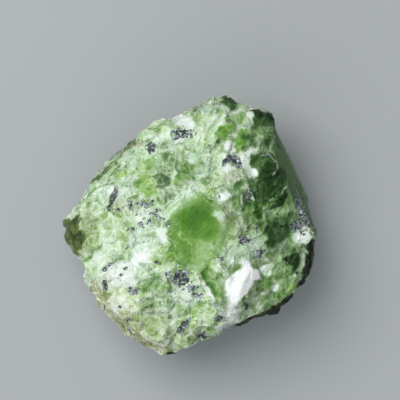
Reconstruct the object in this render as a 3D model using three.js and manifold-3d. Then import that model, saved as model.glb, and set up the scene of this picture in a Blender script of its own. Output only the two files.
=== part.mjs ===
// A rough chunk of granular diopside, lying on its back with its broken face up.
// Millimetres. +X is the right of the broken face, +Y its top, +Z points out of it.
import * as THREE from "three";
import { ConvexGeometry } from "three/addons/geometries/ConvexGeometry.js";
import { mergeVertices } from "three/addons/utils/BufferGeometryUtils.js";
import Module from "manifold-3d";

const wasm = await Module();
wasm.setup();

// Driving dimensions of the whole chunk
const WIDTH = 63.3;
const LENGTH = 64;
const THICKNESS = 38;
const REST_RADIUS = 12.5;
const REST_CORNERS = 11;
const REST_CUT = 0.2;

// The main mass: its widest outline, the rim of the broken face, its dome, and the back below
const WIDEST_OUTLINE = [
  [-28.4, 3.5, 20],
  [-24.1, 11.2, 23],
  [-13.9, 19.9, 25],
  [-6.0, 25.4, 22],
  [2.8, 29.2, 22],
  [8.2, 30.4, 23],
  [18.0, 27.9, 21],
  [21.6, 24.9, 19],
  [24.4, 18.4, 17],
  [27.4, 11.1, 15],
  [29.6, 6.4, 14],
  [31.4, 0.3, 14],
  [30.4, -7.5, 17],
  [27.2, -14.9, 21],
  [21.6, -20.2, 23],
  [12.3, -23.5, 24],
  [4.6, -27.4, 23],
  [-6.2, -31.3, 22],
  [-13.2, -29.0, 21],
  [-19.2, -24.1, 21],
  [-24.1, -18.6, 21],
  [-26.7, -8.6, 23],
];
const FACE_RIM = [
  [-26.2, 2.5, 28],
  [-25.4, -6.0, 29.5],
  [-23.4, -13.0, 29],
  [-20.6, -19.0, 28],
  [-15.6, -25.0, 27],
  [-8.6, -29.0, 27],
  [-2.0, -28.0, 27.5],
  [6.0, -24.9, 28],
  [13.0, -21.8, 28],
  [21.0, -18.2, 27],
  [26.2, -12.5, 26],
  [28.6, -6.0, 25.5],
  [27.6, 0.0, 26.5],
  [24.3, 7.0, 28],
  [21.6, 13.0, 29],
  [19.2, 18.5, 29.5],
  [17.2, 24.4, 28],
  [8.0, 28.6, 28.5],
  [0.0, 26.8, 28.5],
  [-8.0, 22.4, 29],
  [-21.6, 10.6, 28],
];
const FACE_DOME = [
  [-18.0, -2.0, 32.6],
  [-14.0, 8.0, 33.2],
  [-13.0, -12.0, 33],
  [-4.0, 16.0, 33.6],
  [-4.5, -20.5, 32],
  [2.0, 2.0, 36.6],
  [5.0, -8.0, 36.2],
  [9.0, 16.5, 34.2],
  [9.5, -15.5, 33.6],
  [13.5, -3.0, 35],
  [18.5, -10.5, 31],
  [20.5, 4.0, 31],
];
const BACK_OUTLINE = [
  [-27.0, 5.5, 9.5],
  [-19.4, 17.4, 8],
  [-6.0, 25.0, 7],
  [7.5, 27.6, 8],
  [18.8, 22.8, 6.5],
  [25.6, 11.4, 6.5],
  [28.2, 0.2, 7.5],
  [26.2, -11.2, 6.5],
  [18.4, -19.2, 8],
  [5.6, -24.6, 7.5],
  [-7.4, -28.4, 9],
  [-18.6, -22.2, 7],
  [-25.4, -9.2, 8],
];

// Smaller blocks that give the outline its corners: [x, y, z] corners of each convex block
const LEFT_BLOCK = [
  [-31.8, -3.5, 17],
  [-31.2, 0.4, 16],
  [-28.6, 4.6, 20],
  [-25.8, 0.6, 25.5],
  [-25.5, -6.4, 24],
  [-28.0, -8.4, 18],
  [-30.4, -5.6, 12],
  [-26.6, -7.6, 9],
  [-29.2, 2.2, 9],
  [-22.0, 2.0, 6],
  [-20.0, -5.0, 14],
];
const UPPER_LEFT_BLOCK = [
  [-13.3, 21.6, 27],
  [-11.2, 23.9, 25],
  [-8.2, 26.4, 24],
  [-5.8, 26.4, 25],
  [-4.4, 23.6, 31],
  [-10.6, 18.0, 31.2],
  [-12.6, 20.8, 18],
  [-7.6, 24.6, 16],
  [0.0, 22.0, 14],
  [-4.0, 16.0, 20],
];
const TOP_KNOB = [
  [5.6, 31.4, 24],
  [8.4, 32.0, 25],
  [10.3, 31.2, 23],
  [11.4, 29.4, 26],
  [6.0, 29.4, 29.4],
  [9.4, 28.6, 29.6],
  [3.4, 29.8, 26],
  [6.0, 27.0, 14],
  [10.0, 26.0, 15],
];
const TOP_RIGHT_BLOCK = [
  [13.0, 28.6, 25],
  [18.2, 28.3, 25],
  [20.2, 27.5, 23],
  [21.4, 24.8, 25],
  [19.6, 21.0, 29.6],
  [14.2, 22.6, 31.6],
  [14.0, 27.2, 28.6],
  [16.0, 24.0, 12],
  [20.0, 22.0, 12],
];
const LOWER_RIGHT_BLOCK = [
  [30.0, -8.4, 24],
  [28.6, -12.4, 23],
  [24.4, -18.0, 23],
  [22.4, -17.6, 28],
  [27.0, -8.0, 28],
  [25.0, -4.0, 29],
  [20.0, -12.0, 31.2],
  [26.0, -10.0, 12],
  [20.0, -15.0, 10],
];
const BOTTOM_BLOCK = [
  [-8.0, -30.8, 24],
  [-6.2, -32.0, 22],
  [-3.2, -30.8, 21],
  [2.2, -28.9, 23],
  [1.6, -24.4, 29.2],
  [-4.6, -22.6, 30.2],
  [-7.6, -28.0, 27.6],
  [-5.0, -27.0, 9],
  [2.0, -24.0, 11],
];

// Crystals that can be told apart on the broken face:
// centre x, y, length, width, rise above the mass, turn of the long axis in degrees, count of corners
const FACE_CRYSTALS = [
  { x: 3.2, y: -1.2, long: 16.5, wide: 11, rise: 1.3, turn: 82, corners: 16 },
  { x: -2.2, y: -5.6, long: 8.6, wide: 3.6, rise: 0.9, turn: 112, corners: 12 },
  { x: 13.2, y: -13.8, long: 12.4, wide: 6.2, rise: 2.2, turn: 58, corners: 22 },
  { x: 11.2, y: -21.6, long: 7, wide: 4.6, rise: 0.8, turn: 75, corners: 14 },
  { x: 3.6, y: 24.2, long: 12.5, wide: 3.2, rise: 1.2, turn: 62, corners: 12 },
  { x: 6.6, y: 22.2, long: 12, wide: 2.8, rise: 0.8, turn: 60, corners: 12 },
  { x: 0.8, y: 20.6, long: 11, wide: 3.2, rise: 0.9, turn: 64, corners: 12 },
  { x: 8.4, y: 23.4, long: 6.4, wide: 4, rise: 1.1, turn: 50, corners: 14 },
  { x: 13.2, y: 21.4, long: 6, wide: 4.6, rise: 1, turn: 60, corners: 14 },
  { x: 17.9, y: 14.0, long: 6.6, wide: 6, rise: 1.2, turn: 30, corners: 20 },
  { x: 18.6, y: 8.6, long: 9.4, wide: 6.4, rise: 1, turn: 70, corners: 14 },
  { x: 21.6, y: 5.8, long: 7, wide: 4, rise: 1.2, turn: 55, corners: 12 },
  { x: 22.4, y: 3.0, long: 7, wide: 2.4, rise: 1.3, turn: 62, corners: 12 },
  { x: 19.2, y: -0.8, long: 8.4, wide: 2.4, rise: 1.2, turn: 48, corners: 12 },
  { x: 20.4, y: -3.6, long: 8, wide: 5.4, rise: 0.8, turn: 45, corners: 12 },
  { x: 25.3, y: -9.0, long: 5.6, wide: 3.4, rise: 1.1, turn: 115, corners: 12 },
  { x: 27.6, y: -9.6, long: 4.4, wide: 2.6, rise: 1, turn: 100, corners: 12 },
  { x: 22.6, y: -7.8, long: 5, wide: 3, rise: 0.9, turn: 20, corners: 12 },
  { x: 20.2, y: -10.6, long: 4.4, wide: 3.2, rise: 0.8, turn: 35, corners: 12 },
  { x: 18.6, y: -14.4, long: 4, wide: 3.2, rise: 0.8, turn: 70, corners: 12 },
  { x: 24.2, y: -15.6, long: 4.6, wide: 3.2, rise: 0.9, turn: 40, corners: 12 },
  { x: -10.2, y: 9.8, long: 5.4, wide: 4.6, rise: 1, turn: 60, corners: 14 },
  { x: -6.8, y: 10.6, long: 4.6, wide: 4, rise: 0.9, turn: 20, corners: 14 },
  { x: -16.6, y: 12.0, long: 3.2, wide: 2.4, rise: 0.8, turn: 70, corners: 12 },
  { x: -9.4, y: 22.6, long: 7.4, wide: 4.6, rise: 0.8, turn: 40, corners: 14 },
  { x: -23.2, y: -2.2, long: 8, wide: 5.2, rise: 0.9, turn: 80, corners: 14 },
  { x: -17.4, y: -3.4, long: 8.6, wide: 6.6, rise: 0.8, turn: 30, corners: 14 },
  { x: -20.4, y: -10.6, long: 7.6, wide: 5, rise: 0.9, turn: 55, corners: 14 },
  { x: -7.6, y: -15.2, long: 5.2, wide: 4.6, rise: 1, turn: 75, corners: 14 },
  { x: -9.6, y: -19.6, long: 4.6, wide: 4, rise: 1, turn: 30, corners: 14 },
  { x: -8.6, y: -25.4, long: 7, wide: 6, rise: 1, turn: 70, corners: 14 },
  { x: -17.2, y: -19.6, long: 8, wide: 6, rise: 0.9, turn: 110, corners: 14 },
  { x: 3.6, y: -22.0, long: 6.4, wide: 5.6, rise: 1.1, turn: 80, corners: 18 },
  { x: 5.6, y: -14.6, long: 9.8, wide: 3.2, rise: 0.9, turn: 118, corners: 12 },
  { x: 8.0, y: -12.6, long: 8, wide: 3, rise: 0.8, turn: 118, corners: 12 },
  { x: -1.4, y: -27.2, long: 6.4, wide: 5.2, rise: 0.9, turn: 60, corners: 14 },
  { x: 9.2, y: 12.6, long: 6, wide: 4.4, rise: 0.9, turn: 55, corners: 14 },
  { x: 12.6, y: 3.6, long: 11, wide: 3.4, rise: 0.9, turn: 100, corners: 12 },
  { x: 9.0, y: 7.6, long: 4, wide: 3.2, rise: 1, turn: 30, corners: 14 },
  { x: 28.0, y: -2.4, long: 5, wide: 4, rise: 0.9, turn: 60, corners: 14 },
];

// Steps where flakes have split away, sunk into the broken face: centre, size, depth, turn
const FACE_PITS = [
  { x: -1.9, y: 22.3, long: 5, wide: 2.4, depth: 0.7, turn: 10 },
  { x: -9.5, y: 19.1, long: 3.4, wide: 2.2, depth: 0.7, turn: 20 },
  { x: 10.2, y: 15.4, long: 5, wide: 3, depth: 0.7, turn: 10 },
  { x: 14.3, y: 7.0, long: 2.6, wide: 1.4, depth: 0.8, turn: 95 },
  { x: -18.6, y: 5.8, long: 6.4, wide: 2.2, depth: 0.8, turn: 62 },
  { x: -14.2, y: 4.8, long: 3.4, wide: 1.6, depth: 0.8, turn: 100 },
  { x: -2.6, y: -12.7, long: 3.8, wide: 3.6, depth: 0.7, turn: 0 },
  { x: -13.4, y: -16.0, long: 3, wide: 2, depth: 0.6, turn: 0 },
  { x: -20.6, y: -14.5, long: 2.8, wide: 1.6, depth: 0.6, turn: 90 },
  { x: -19.8, y: -10.0, long: 3.6, wide: 1.2, depth: 0.6, turn: 38 },
  { x: -1.9, y: -24.6, long: 5.4, wide: 1.6, depth: 0.7, turn: 52 },
  { x: 7.4, y: -22.6, long: 2.4, wide: 2, depth: 0.8, turn: 60 },
  { x: 2.6, y: -27.4, long: 2.4, wide: 2, depth: 0.8, turn: 40 },
  { x: 13.4, y: -3.3, long: 2.8, wide: 2.2, depth: 0.7, turn: 60 },
  { x: 27.2, y: 2.8, long: 8, wide: 3.4, depth: 0.7, turn: 75 },
];

// Ridges along the striated upper left edge: the ends of the strip, and the heights that they run at
const RIDGE_STARTS_AT = [-24.6, 10.4];
const RIDGE_ENDS_AT = [-14.2, 19.4];
const RIDGE_HEIGHTS = [17.5, 20, 22.6, 25, 27];
const RIDGE_WIDTH = 2.3;
const RIDGE_RISE = 0.55;
const RIDGE_FACING = new THREE.Vector3(-0.66, 0.75, 0);

// The mosaic of broken grains over the whole surface
const GRAIN_CENTRE = new THREE.Vector3(0, 0, 17);
const FACE_GRAIN_SPACING = 4.3;
const SIDE_GRAIN_COUNT = 215;
const SIDE_GRAINS_BELOW = 24;
const GRAIN_RISE = { least: -0.5, most: 0.7 };
const GRAIN_TILT = 0.26;
const GRAIN_INSET = 0.86;
const GRAIN_NEIGHBOURS = 26;
const WIDEST_CELL = 0.5;
const PROUDEST = 0.9;
const DEEPEST = 1.1;
const SWELL = 0.3;
const SWELL_LENGTH = 17;

// Loose-standing crystals between the named ones
const SPARE_FACE_CRYSTALS = 24;
const SPARE_SIDE_CRYSTALS = 34;
const SPARE_CRYSTAL = { least: 3.2, most: 7.5, rise: 1 };

// Shape of a single crystal: its rings below, at and above the surface
const CROWN_SHARE = 0.72;
const ROOT_SHARE = 0.8;
const GIRDLE_DROP = 0.55;
const ROOT_DEPTH = 0.5;
const CROWN_TILT = 0.22;
const CORNER_JITTER = 0.28;
const CORNER_SQUARENESS = 0.75;
const LEAST_SIDES = 5;
const PIT_CREST = 0.4;
const PIT_CORNERS = 12;
const SEED = 11;

/** A repeatable stream of numbers from 0 to 1. */
function seededRandom(seed) {
  let state = seed >>> 0;
  return () => {
    state = (state + 0x6d2b79f5) >>> 0;
    let t = Math.imul(state ^ (state >>> 15), state | 1);
    t ^= t + Math.imul(t ^ (t >>> 7), t | 61);
    return ((t ^ (t >>> 14)) >>> 0) / 4294967296;
  };
}
const random = seededRandom(SEED);
const between = (low, high) => low + (high - low) * random();

/** A closed geometry as a solid. */
function solidOf(geometry) {
  const bare = geometry.clone();
  bare.deleteAttribute("normal");
  bare.deleteAttribute("uv");
  const merged = mergeVertices(bare, 1e-4);
  return new wasm.Manifold(
    new wasm.Mesh({
      numProp: 3,
      vertProperties: merged.attributes.position.array,
      triVerts: new Uint32Array(merged.index.array),
    }),
  );
}

/** The geometry of a solid. */
function geometryOf(solid) {
  const mesh = solid.getMesh();
  const geometry = new THREE.BufferGeometry();
  geometry.setAttribute("position", new THREE.BufferAttribute(mesh.vertProperties, 3));
  geometry.setIndex(new THREE.BufferAttribute(mesh.triVerts, 1));
  geometry.computeVertexNormals();
  return geometry;
}

/** The convex solid round some points. */
function hullOf(points) {
  return solidOf(new ConvexGeometry(points));
}

/** The convex block round a list of [x, y, z] corners. */
function block(corners) {
  return hullOf(corners.map((corner) => new THREE.Vector3(...corner)));
}

/** The corners of the small flat spot that the chunk rests on. */
function restSpot() {
  return Array.from({ length: REST_CORNERS }, (_, i) => {
    const angle = (i / REST_CORNERS) * 2 * Math.PI;
    const reach = REST_RADIUS * between(0.86, 1.08);
    return [reach * Math.cos(angle), reach * Math.sin(angle), 0];
  });
}

/** Directions spread evenly over a sphere. */
function spreadDirections(count) {
  const golden = Math.PI * (3 - Math.sqrt(5));
  return Array.from({ length: count }, (_, i) => {
    const z = 1 - (2 * (i + 0.5)) / count;
    const r = Math.sqrt(1 - z * z);
    return new THREE.Vector3(r * Math.cos(i * golden), r * Math.sin(i * golden), z);
  });
}

/** Two directions at right angles to a third and to each other. */
function sideways(normal, hint = new THREE.Vector3(0.31, 0.17, 0.93)) {
  const along = hint.clone().projectOnPlane(normal).normalize();
  return { along, across: new THREE.Vector3().crossVectors(normal, along) };
}

const cornerBlocks = [
  LEFT_BLOCK,
  UPPER_LEFT_BLOCK,
  TOP_KNOB,
  TOP_RIGHT_BLOCK,
  LOWER_RIGHT_BLOCK,
  BOTTOM_BLOCK,
].map(block);
const mass = wasm.Manifold.union([
  block([...WIDEST_OUTLINE, ...FACE_RIM, ...FACE_DOME, ...BACK_OUTLINE, ...restSpot()]),
  ...cornerBlocks,
]);
const massMesh = new THREE.Mesh(geometryOf(mass));
const ray = new THREE.Raycaster();

/** Where a line from outside meets the main mass, with the outward direction there. */
function surfaceFrom(origin, way) {
  ray.set(origin, way);
  const hit = ray.intersectObject(massMesh)[0];
  return hit ? { point: hit.point, normal: hit.face.normal.clone() } : null;
}

/** Where the broken face lies at a place given from above. */
function faceAt(x, y) {
  return surfaceFrom(new THREE.Vector3(x, y, 2 * THICKNESS), new THREE.Vector3(0, 0, -1));
}

/** Where the surface lies in a direction from the middle. */
function surfaceAlong(way) {
  const outside = GRAIN_CENTRE.clone().addScaledVector(way, 3 * THICKNESS);
  return surfaceFrom(outside, way.clone().negate());
}

/** A crystal sunk in the surface: a root, a girdle and a smaller tilted crown with flat faces between. */
function crystal({ point, normal }, { long, wide, rise, turn, corners }) {
  const lean = THREE.MathUtils.degToRad(turn);
  const hint = new THREE.Vector3(Math.cos(lean), Math.sin(lean), 0);
  const { along, across } = sideways(normal, hint);
  const sides = Math.max(LEAST_SIDES, Math.round(corners / 2));
  const slopeLong = between(-CROWN_TILT, CROWN_TILT);
  const slopeWide = between(-CROWN_TILT, CROWN_TILT);
  const squared = (value) => Math.sign(value) * Math.abs(value) ** CORNER_SQUARENESS;
  const points = [];
  for (let i = 0; i < sides; i += 1) {
    const angle = ((i + between(-CORNER_JITTER, CORNER_JITTER)) / sides) * 2 * Math.PI;
    const u = 0.5 * long * squared(Math.cos(angle));
    const v = 0.5 * wide * squared(Math.sin(angle));
    const height = rise + u * slopeLong + v * slopeWide;
    const place = (share, up) => {
      const flat = point.clone().addScaledVector(along, u * share).addScaledVector(across, v * share);
      return flat.addScaledVector(normal, up);
    };
    points.push(place(CROWN_SHARE, height));
    points.push(place(1, height - GIRDLE_DROP * rise));
    points.push(place(ROOT_SHARE, -ROOT_DEPTH * wide));
  }
  return hullOf(points);
}

/** The named crystals of the broken face. */
function faceCrystals() {
  return FACE_CRYSTALS.map((one) => crystal(faceAt(one.x, one.y), one));
}

/** Shallow chips out of the broken face, each the crown of a crystal that points inwards. */
function facePits() {
  return FACE_PITS.map((pit) => {
    const { point, normal } = faceAt(pit.x, pit.y);
    const crest = point.clone().addScaledVector(normal, PIT_CREST);
    const inwards = { point: crest, normal: normal.clone().negate() };
    return crystal(inwards, { ...pit, rise: pit.depth + PIT_CREST, corners: PIT_CORNERS });
  });
}

/** True where the long smooth face runs down the right side. */
function onSmoothFace({ point, normal }) {
  return normal.x > 0.45 && point.y > -3 && point.y < 25;
}

/** True round the flat spot that the chunk rests on. */
function onRestSpot({ point }) {
  return point.z < 4 * REST_CUT;
}

/** Directions from the middle to each broken grain, close together on the face and wider elsewhere. */
function grainDirections() {
  const found = [];
  const half = Math.max(WIDTH, LENGTH) / 2;
  for (let gx = -half; gx <= half; gx += FACE_GRAIN_SPACING) {
    for (let gy = -half; gy <= half; gy += FACE_GRAIN_SPACING) {
      const x = gx + between(-0.42, 0.42) * FACE_GRAIN_SPACING;
      const y = gy + between(-0.42, 0.42) * FACE_GRAIN_SPACING;
      found.push(faceAt(x, y));
    }
  }
  for (const way of spreadDirections(SIDE_GRAIN_COUNT)) {
    way.x += between(-0.09, 0.09);
    way.y += between(-0.09, 0.09);
    way.z += between(-0.09, 0.09);
    const hit = surfaceAlong(way.normalize());
    found.push(hit.point.z < SIDE_GRAINS_BELOW ? hit : null);
  }
  return found.filter((hit) => hit).map(({ point }) => point.sub(GRAIN_CENTRE).normalize());
}

/** The part of a flat polygon of [u, v] corners where a u + b v <= c. */
function clipPolygon(polygon, a, b, c) {
  const over = ([u, v]) => a * u + b * v - c;
  return polygon.flatMap((here, i) => {
    const next = polygon[(i + 1) % polygon.length];
    const [overHere, overNext] = [over(here), over(next)];
    const kept = overHere <= 0 ? [here] : [];
    if (overHere <= 0 !== overNext <= 0) {
      const share = overHere / (overHere - overNext);
      kept.push([here[0] + share * (next[0] - here[0]), here[1] + share * (next[1] - here[1])]);
    }
    return kept;
  });
}

/** The corners of the directions nearer to one grain than to any other, drawn in a little. */
function grainCorners(way, all) {
  const { along, across } = sideways(way);
  const w = WIDEST_CELL;
  const near = all.filter((other) => other !== way).sort((p, q) => q.dot(way) - p.dot(way));
  let polygon = [[-w, -w], [w, -w], [w, w], [-w, w]];
  for (const other of near.slice(0, GRAIN_NEIGHBOURS)) {
    const apart = other.clone().sub(way);
    polygon = clipPolygon(polygon, apart.dot(along), apart.dot(across), -apart.dot(way));
  }
  return polygon.map(([u, v]) =>
    way.clone().addScaledVector(along, u * GRAIN_INSET).addScaledVector(across, v * GRAIN_INSET).normalize(),
  );
}

/** Broad swells of the broken surface. */
function swellAt({ x, y, z }) {
  const wave = Math.sin(x / SWELL_LENGTH + 1.3) + Math.sin(y / SWELL_LENGTH - 0.8 + z / SWELL_LENGTH);
  return SWELL * wave * Math.cos((x - y) / SWELL_LENGTH);
}

/** One broken grain: its direction, the way its flat face looks and how far out that face lies. */
function grain(way) {
  const hit = surfaceAlong(way);
  const { along, across } = sideways(hit.normal);
  const facing = hit.normal.clone();
  facing.addScaledVector(along, between(-GRAIN_TILT, GRAIN_TILT));
  facing.addScaledVector(across, between(-GRAIN_TILT, GRAIN_TILT)).normalize();
  const rise = between(GRAIN_RISE.least, GRAIN_RISE.most) + swellAt(hit.point);
  const level = hit.point.clone().addScaledVector(hit.normal, rise).sub(GRAIN_CENTRE).dot(facing);
  return { way, facing, level, even: onSmoothFace(hit) || onRestSpot(hit) };
}

/** How far the flat face of a grain lies from the middle in a direction, kept close to the main mass. */
function reachOf({ facing, level, even }, outward) {
  const skin = surfaceAlong(outward).point.distanceTo(GRAIN_CENTRE);
  if (even) {
    return skin;
  }
  return THREE.MathUtils.clamp(level / outward.dot(facing), skin - DEEPEST, skin + PROUDEST);
}

/** The whole chunk as a closed mosaic of flat grain faces with narrow steps between them. */
function mosaic() {
  const ways = grainDirections();
  const all = ways.map(grain);
  const corners = ways.flatMap((way) => grainCorners(way, ways));
  const geometry = new ConvexGeometry(corners);
  const place = geometry.getAttribute("position");
  const outward = new THREE.Vector3();
  for (let i = 0; i < place.count; i += 1) {
    outward.fromBufferAttribute(place, i).normalize();
    const owner = all.reduce((best, one) => (one.way.dot(outward) > best.way.dot(outward) ? one : best));
    outward.multiplyScalar(reachOf(owner, outward)).add(GRAIN_CENTRE);
    place.setXYZ(i, outward.x, outward.y, outward.z);
  }
  return solidOf(geometry);
}

/** A crystal of chance size and turn at a place on the surface. */
function spareCrystal(hit) {
  const long = between(SPARE_CRYSTAL.least, SPARE_CRYSTAL.most);
  const wide = long * between(0.45, 0.9);
  const rise = SPARE_CRYSTAL.rise * between(0.6, 1.2);
  return crystal(hit, { long, wide, rise, turn: between(0, 180), corners: 12 });
}

/** True beside the ridges of the striated edge. */
function onStriatedEdge({ point }) {
  const [startX, startY] = RIDGE_STARTS_AT;
  const [endX, endY] = RIDGE_ENDS_AT;
  return point.x > startX - 4 && point.x < endX + 4 && point.y > startY - 4 && point.y < endY + 4;
}

/** True away from the named crystals, the smooth face, the striated edge and the flat spot. */
function isSpare(hit) {
  const { point } = hit;
  const apart = FACE_CRYSTALS.every((one) => Math.hypot(point.x - one.x, point.y - one.y) > 0.6 * one.long);
  const plain = !onSmoothFace(hit) && !onStriatedEdge(hit) && point.z > 5;
  return plain && (apart || point.z < SIDE_GRAINS_BELOW);
}

/** Crystals scattered over the broken face, the sides and the back. */
function spareCrystals() {
  const above = spreadDirections(2 * SPARE_FACE_CRYSTALS).filter((way) => way.z > 0);
  const face = above.map((way) => faceAt(0.46 * WIDTH * way.x, 0.46 * LENGTH * way.y));
  const sides = spreadDirections(SPARE_SIDE_CRYSTALS).map((way) => {
    way.x += between(-0.2, 0.2);
    return surfaceAlong(way.normalize());
  });
  const below = sides.filter((hit) => hit.point.z < SIDE_GRAINS_BELOW);
  return [...face, ...below].filter((hit) => hit && isSpare(hit)).map(spareCrystal);
}

/** Long parallel ridges of the striated edge. */
function ridges() {
  const { along, across } = sideways(RIDGE_FACING.clone().normalize(), new THREE.Vector3(0, 0, 1));
  return RIDGE_HEIGHTS.map((height) => {
    const ends = [RIDGE_STARTS_AT, RIDGE_ENDS_AT].map(([x, y]) => {
      const outside = new THREE.Vector3(x, y, height).addScaledVector(RIDGE_FACING, 40);
      return surfaceFrom(outside, RIDGE_FACING.clone().negate().normalize()).point;
    });
    const half = 0.5 * RIDGE_WIDTH * between(0.8, 1.1);
    return hullOf(
      ends.flatMap((end, i) => [
        end.clone().addScaledVector(along, half),
        end.clone().addScaledVector(along, -half),
        end.clone().addScaledVector(RIDGE_FACING, RIDGE_RISE).addScaledVector(along, 0.35 * half),
        end.clone().addScaledVector(RIDGE_FACING, 0.8 * RIDGE_RISE).addScaledVector(along, -0.3 * half),
        end.clone().addScaledVector(RIDGE_FACING, -2).addScaledVector(across, i - 0.5),
      ]),
    );
  });
}

/** The largest closed skin of a solid, without loose chips or hollows sealed inside it. */
function outerSkin(solid) {
  return solid.decompose().reduce((kept, other) => (other.volume() > kept.volume() ? other : kept));
}

/** Everything below the resting plane. */
function belowRest() {
  const slab = new THREE.BoxGeometry(4 * WIDTH, 4 * LENGTH, THICKNESS);
  slab.translate(0, 0, REST_CUT - THICKNESS / 2);
  return solidOf(slab);
}

/** The finished chunk at its full size, centred over its resting plane. */
function chunk() {
  const grown = wasm.Manifold.union([
    mosaic(),
    ...cornerBlocks,
    ...faceCrystals(),
    ...spareCrystals(),
    ...ridges(),
  ]);
  const broken = outerSkin(grown.subtract(wasm.Manifold.union(facePits())).subtract(belowRest()));
  const { min, max } = broken.boundingBox();
  const centred = broken.translate([-0.5 * (min[0] + max[0]), -0.5 * (min[1] + max[1]), -min[2]]);
  return geometryOf(
    centred.scale([WIDTH / (max[0] - min[0]), LENGTH / (max[1] - min[1]), THICKNESS / (max[2] - min[2])]),
  );
}

const stone = new THREE.MeshStandardMaterial({ color: 0x7da65f, roughness: 0.4, metalness: 0 });
const body = new THREE.Mesh(chunk(), stone);
body.name = "diopside_crystal";

const diopside = new THREE.Group();
diopside.add(body);

export default diopside;
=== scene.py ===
"""A rough chunk of granular diopside, lying on its back with its broken face up.

The camera looks straight down on the broken face. +X is to the right of the picture, +Y is up in it and
+Z points at the camera. Places and sizes of marks are in millimetres, and Blender's objects are in metres.
"""

import itertools
import logging
import math
from dataclasses import dataclass, field
from enum import Enum

import bmesh
import bpy
import numpy as np
from mathutils import Matrix, Vector
from mathutils.bvhtree import BVHTree


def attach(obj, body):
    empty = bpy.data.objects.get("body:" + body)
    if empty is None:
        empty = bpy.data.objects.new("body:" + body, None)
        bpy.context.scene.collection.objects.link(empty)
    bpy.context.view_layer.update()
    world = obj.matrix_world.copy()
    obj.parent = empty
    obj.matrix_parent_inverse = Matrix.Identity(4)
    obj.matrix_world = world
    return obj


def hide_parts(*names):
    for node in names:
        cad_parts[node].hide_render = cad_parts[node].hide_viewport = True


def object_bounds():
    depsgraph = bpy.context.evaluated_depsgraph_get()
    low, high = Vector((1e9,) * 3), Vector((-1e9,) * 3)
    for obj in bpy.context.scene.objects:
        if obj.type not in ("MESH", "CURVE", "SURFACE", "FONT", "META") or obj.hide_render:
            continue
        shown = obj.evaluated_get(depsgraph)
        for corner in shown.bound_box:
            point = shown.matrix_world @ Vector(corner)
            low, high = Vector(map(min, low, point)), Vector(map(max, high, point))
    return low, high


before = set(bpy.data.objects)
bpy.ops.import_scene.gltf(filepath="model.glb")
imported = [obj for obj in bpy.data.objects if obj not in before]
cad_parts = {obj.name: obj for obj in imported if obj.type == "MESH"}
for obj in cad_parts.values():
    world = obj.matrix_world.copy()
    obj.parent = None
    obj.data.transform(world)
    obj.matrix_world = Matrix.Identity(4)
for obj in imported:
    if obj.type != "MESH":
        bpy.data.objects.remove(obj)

CAD_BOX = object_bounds()
NODE = "diopside_crystal"
BODY = "root"
MM = 0.001
TINY = 1e-9
LOG = logging.getLogger("diopside")

Place = tuple[float, float]
Step = tuple[float, float]
Triple = tuple[float, float, float]
Socket = bpy.types.NodeSocket
Value = bpy.types.NodeSocket | float | tuple[float, ...]


class Channel(Enum):
    """A value that the stone's mesh carries at every point, read by its finish."""

    TONE = "tone"
    VIVID = "vivid"
    BROWN = "brown"
    WHITE = "white"
    LILAC = "lilac"
    GRAIN = "grain"
    GLOSS = "gloss"
    EVEN = "even"
    SEAM = "seam"
    FLAKE = "flake"
    LINE = "line"


Channels = dict[Channel, np.ndarray]


@dataclass(frozen=True)
class Tint:
    """What a mark does to the stone's channels. None leaves a channel as it is."""

    tone: float | None = None
    vivid: float | None = None
    brown: float | None = None
    white: float | None = None
    lilac: float | None = None
    grain: float | None = None
    gloss: float | None = None
    even: float | None = None

    def values(self) -> dict[Channel, float]:
        """The channels that this tint sets, with their values."""
        named = {channel: getattr(self, channel.value, None) for channel in Channel}
        return {channel: value for channel, value in named.items() if value is not None}


@dataclass(frozen=True)
class Mark:
    """A region of the broken face, seen from above, in millimetres."""

    tint: Tint
    edge: float = field(default=0.5, kw_only=True)

    def distance(self, x: np.ndarray, y: np.ndarray) -> np.ndarray:
        """Signed distance to the mark's outline.

        Args:
            x: The points' places to the right, in millimetres.
            y: The points' places up the face, in millimetres.

        Returns:
            The distances in millimetres, below zero inside the mark.
        """
        raise NotImplementedError


@dataclass(frozen=True)
class Patch(Mark):
    """A rounded block, such as one crystal or a cloud of grains."""

    x: float
    y: float
    long: float
    wide: float
    turn: float = 0.0
    squareness: float = 2.6

    def distance(self, x: np.ndarray, y: np.ndarray) -> np.ndarray:
        """Signed distance to the block's outline.

        Args:
            x: The points' places to the right, in millimetres.
            y: The points' places up the face, in millimetres.

        Returns:
            The distances in millimetres, below zero inside the block.
        """
        angle = math.radians(self.turn)
        along = (x - self.x) * math.cos(angle) + (y - self.y) * math.sin(angle)
        across = (y - self.y) * math.cos(angle) - (x - self.x) * math.sin(angle)
        reach = np.abs(along * 2 / self.long) ** self.squareness
        reach += np.abs(across * 2 / self.wide) ** self.squareness
        return (reach ** (1 / self.squareness) - 1) * min(self.long, self.wide) / 2


@dataclass(frozen=True)
class Streak(Mark):
    """A band of one width along a line of points."""

    points: tuple[Place, ...]
    width: float

    def distance(self, x: np.ndarray, y: np.ndarray) -> np.ndarray:
        """Signed distance to the band's outline.

        Args:
            x: The points' places to the right, in millimetres.
            y: The points' places up the face, in millimetres.

        Returns:
            The distances in millimetres, below zero inside the band.
        """
        nearest = np.full(x.shape, np.inf)
        for start, end in itertools.pairwise(self.points):
            nearest = np.minimum(nearest, segment_distance(x, y, start, end))
        return nearest - self.width / 2


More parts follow.
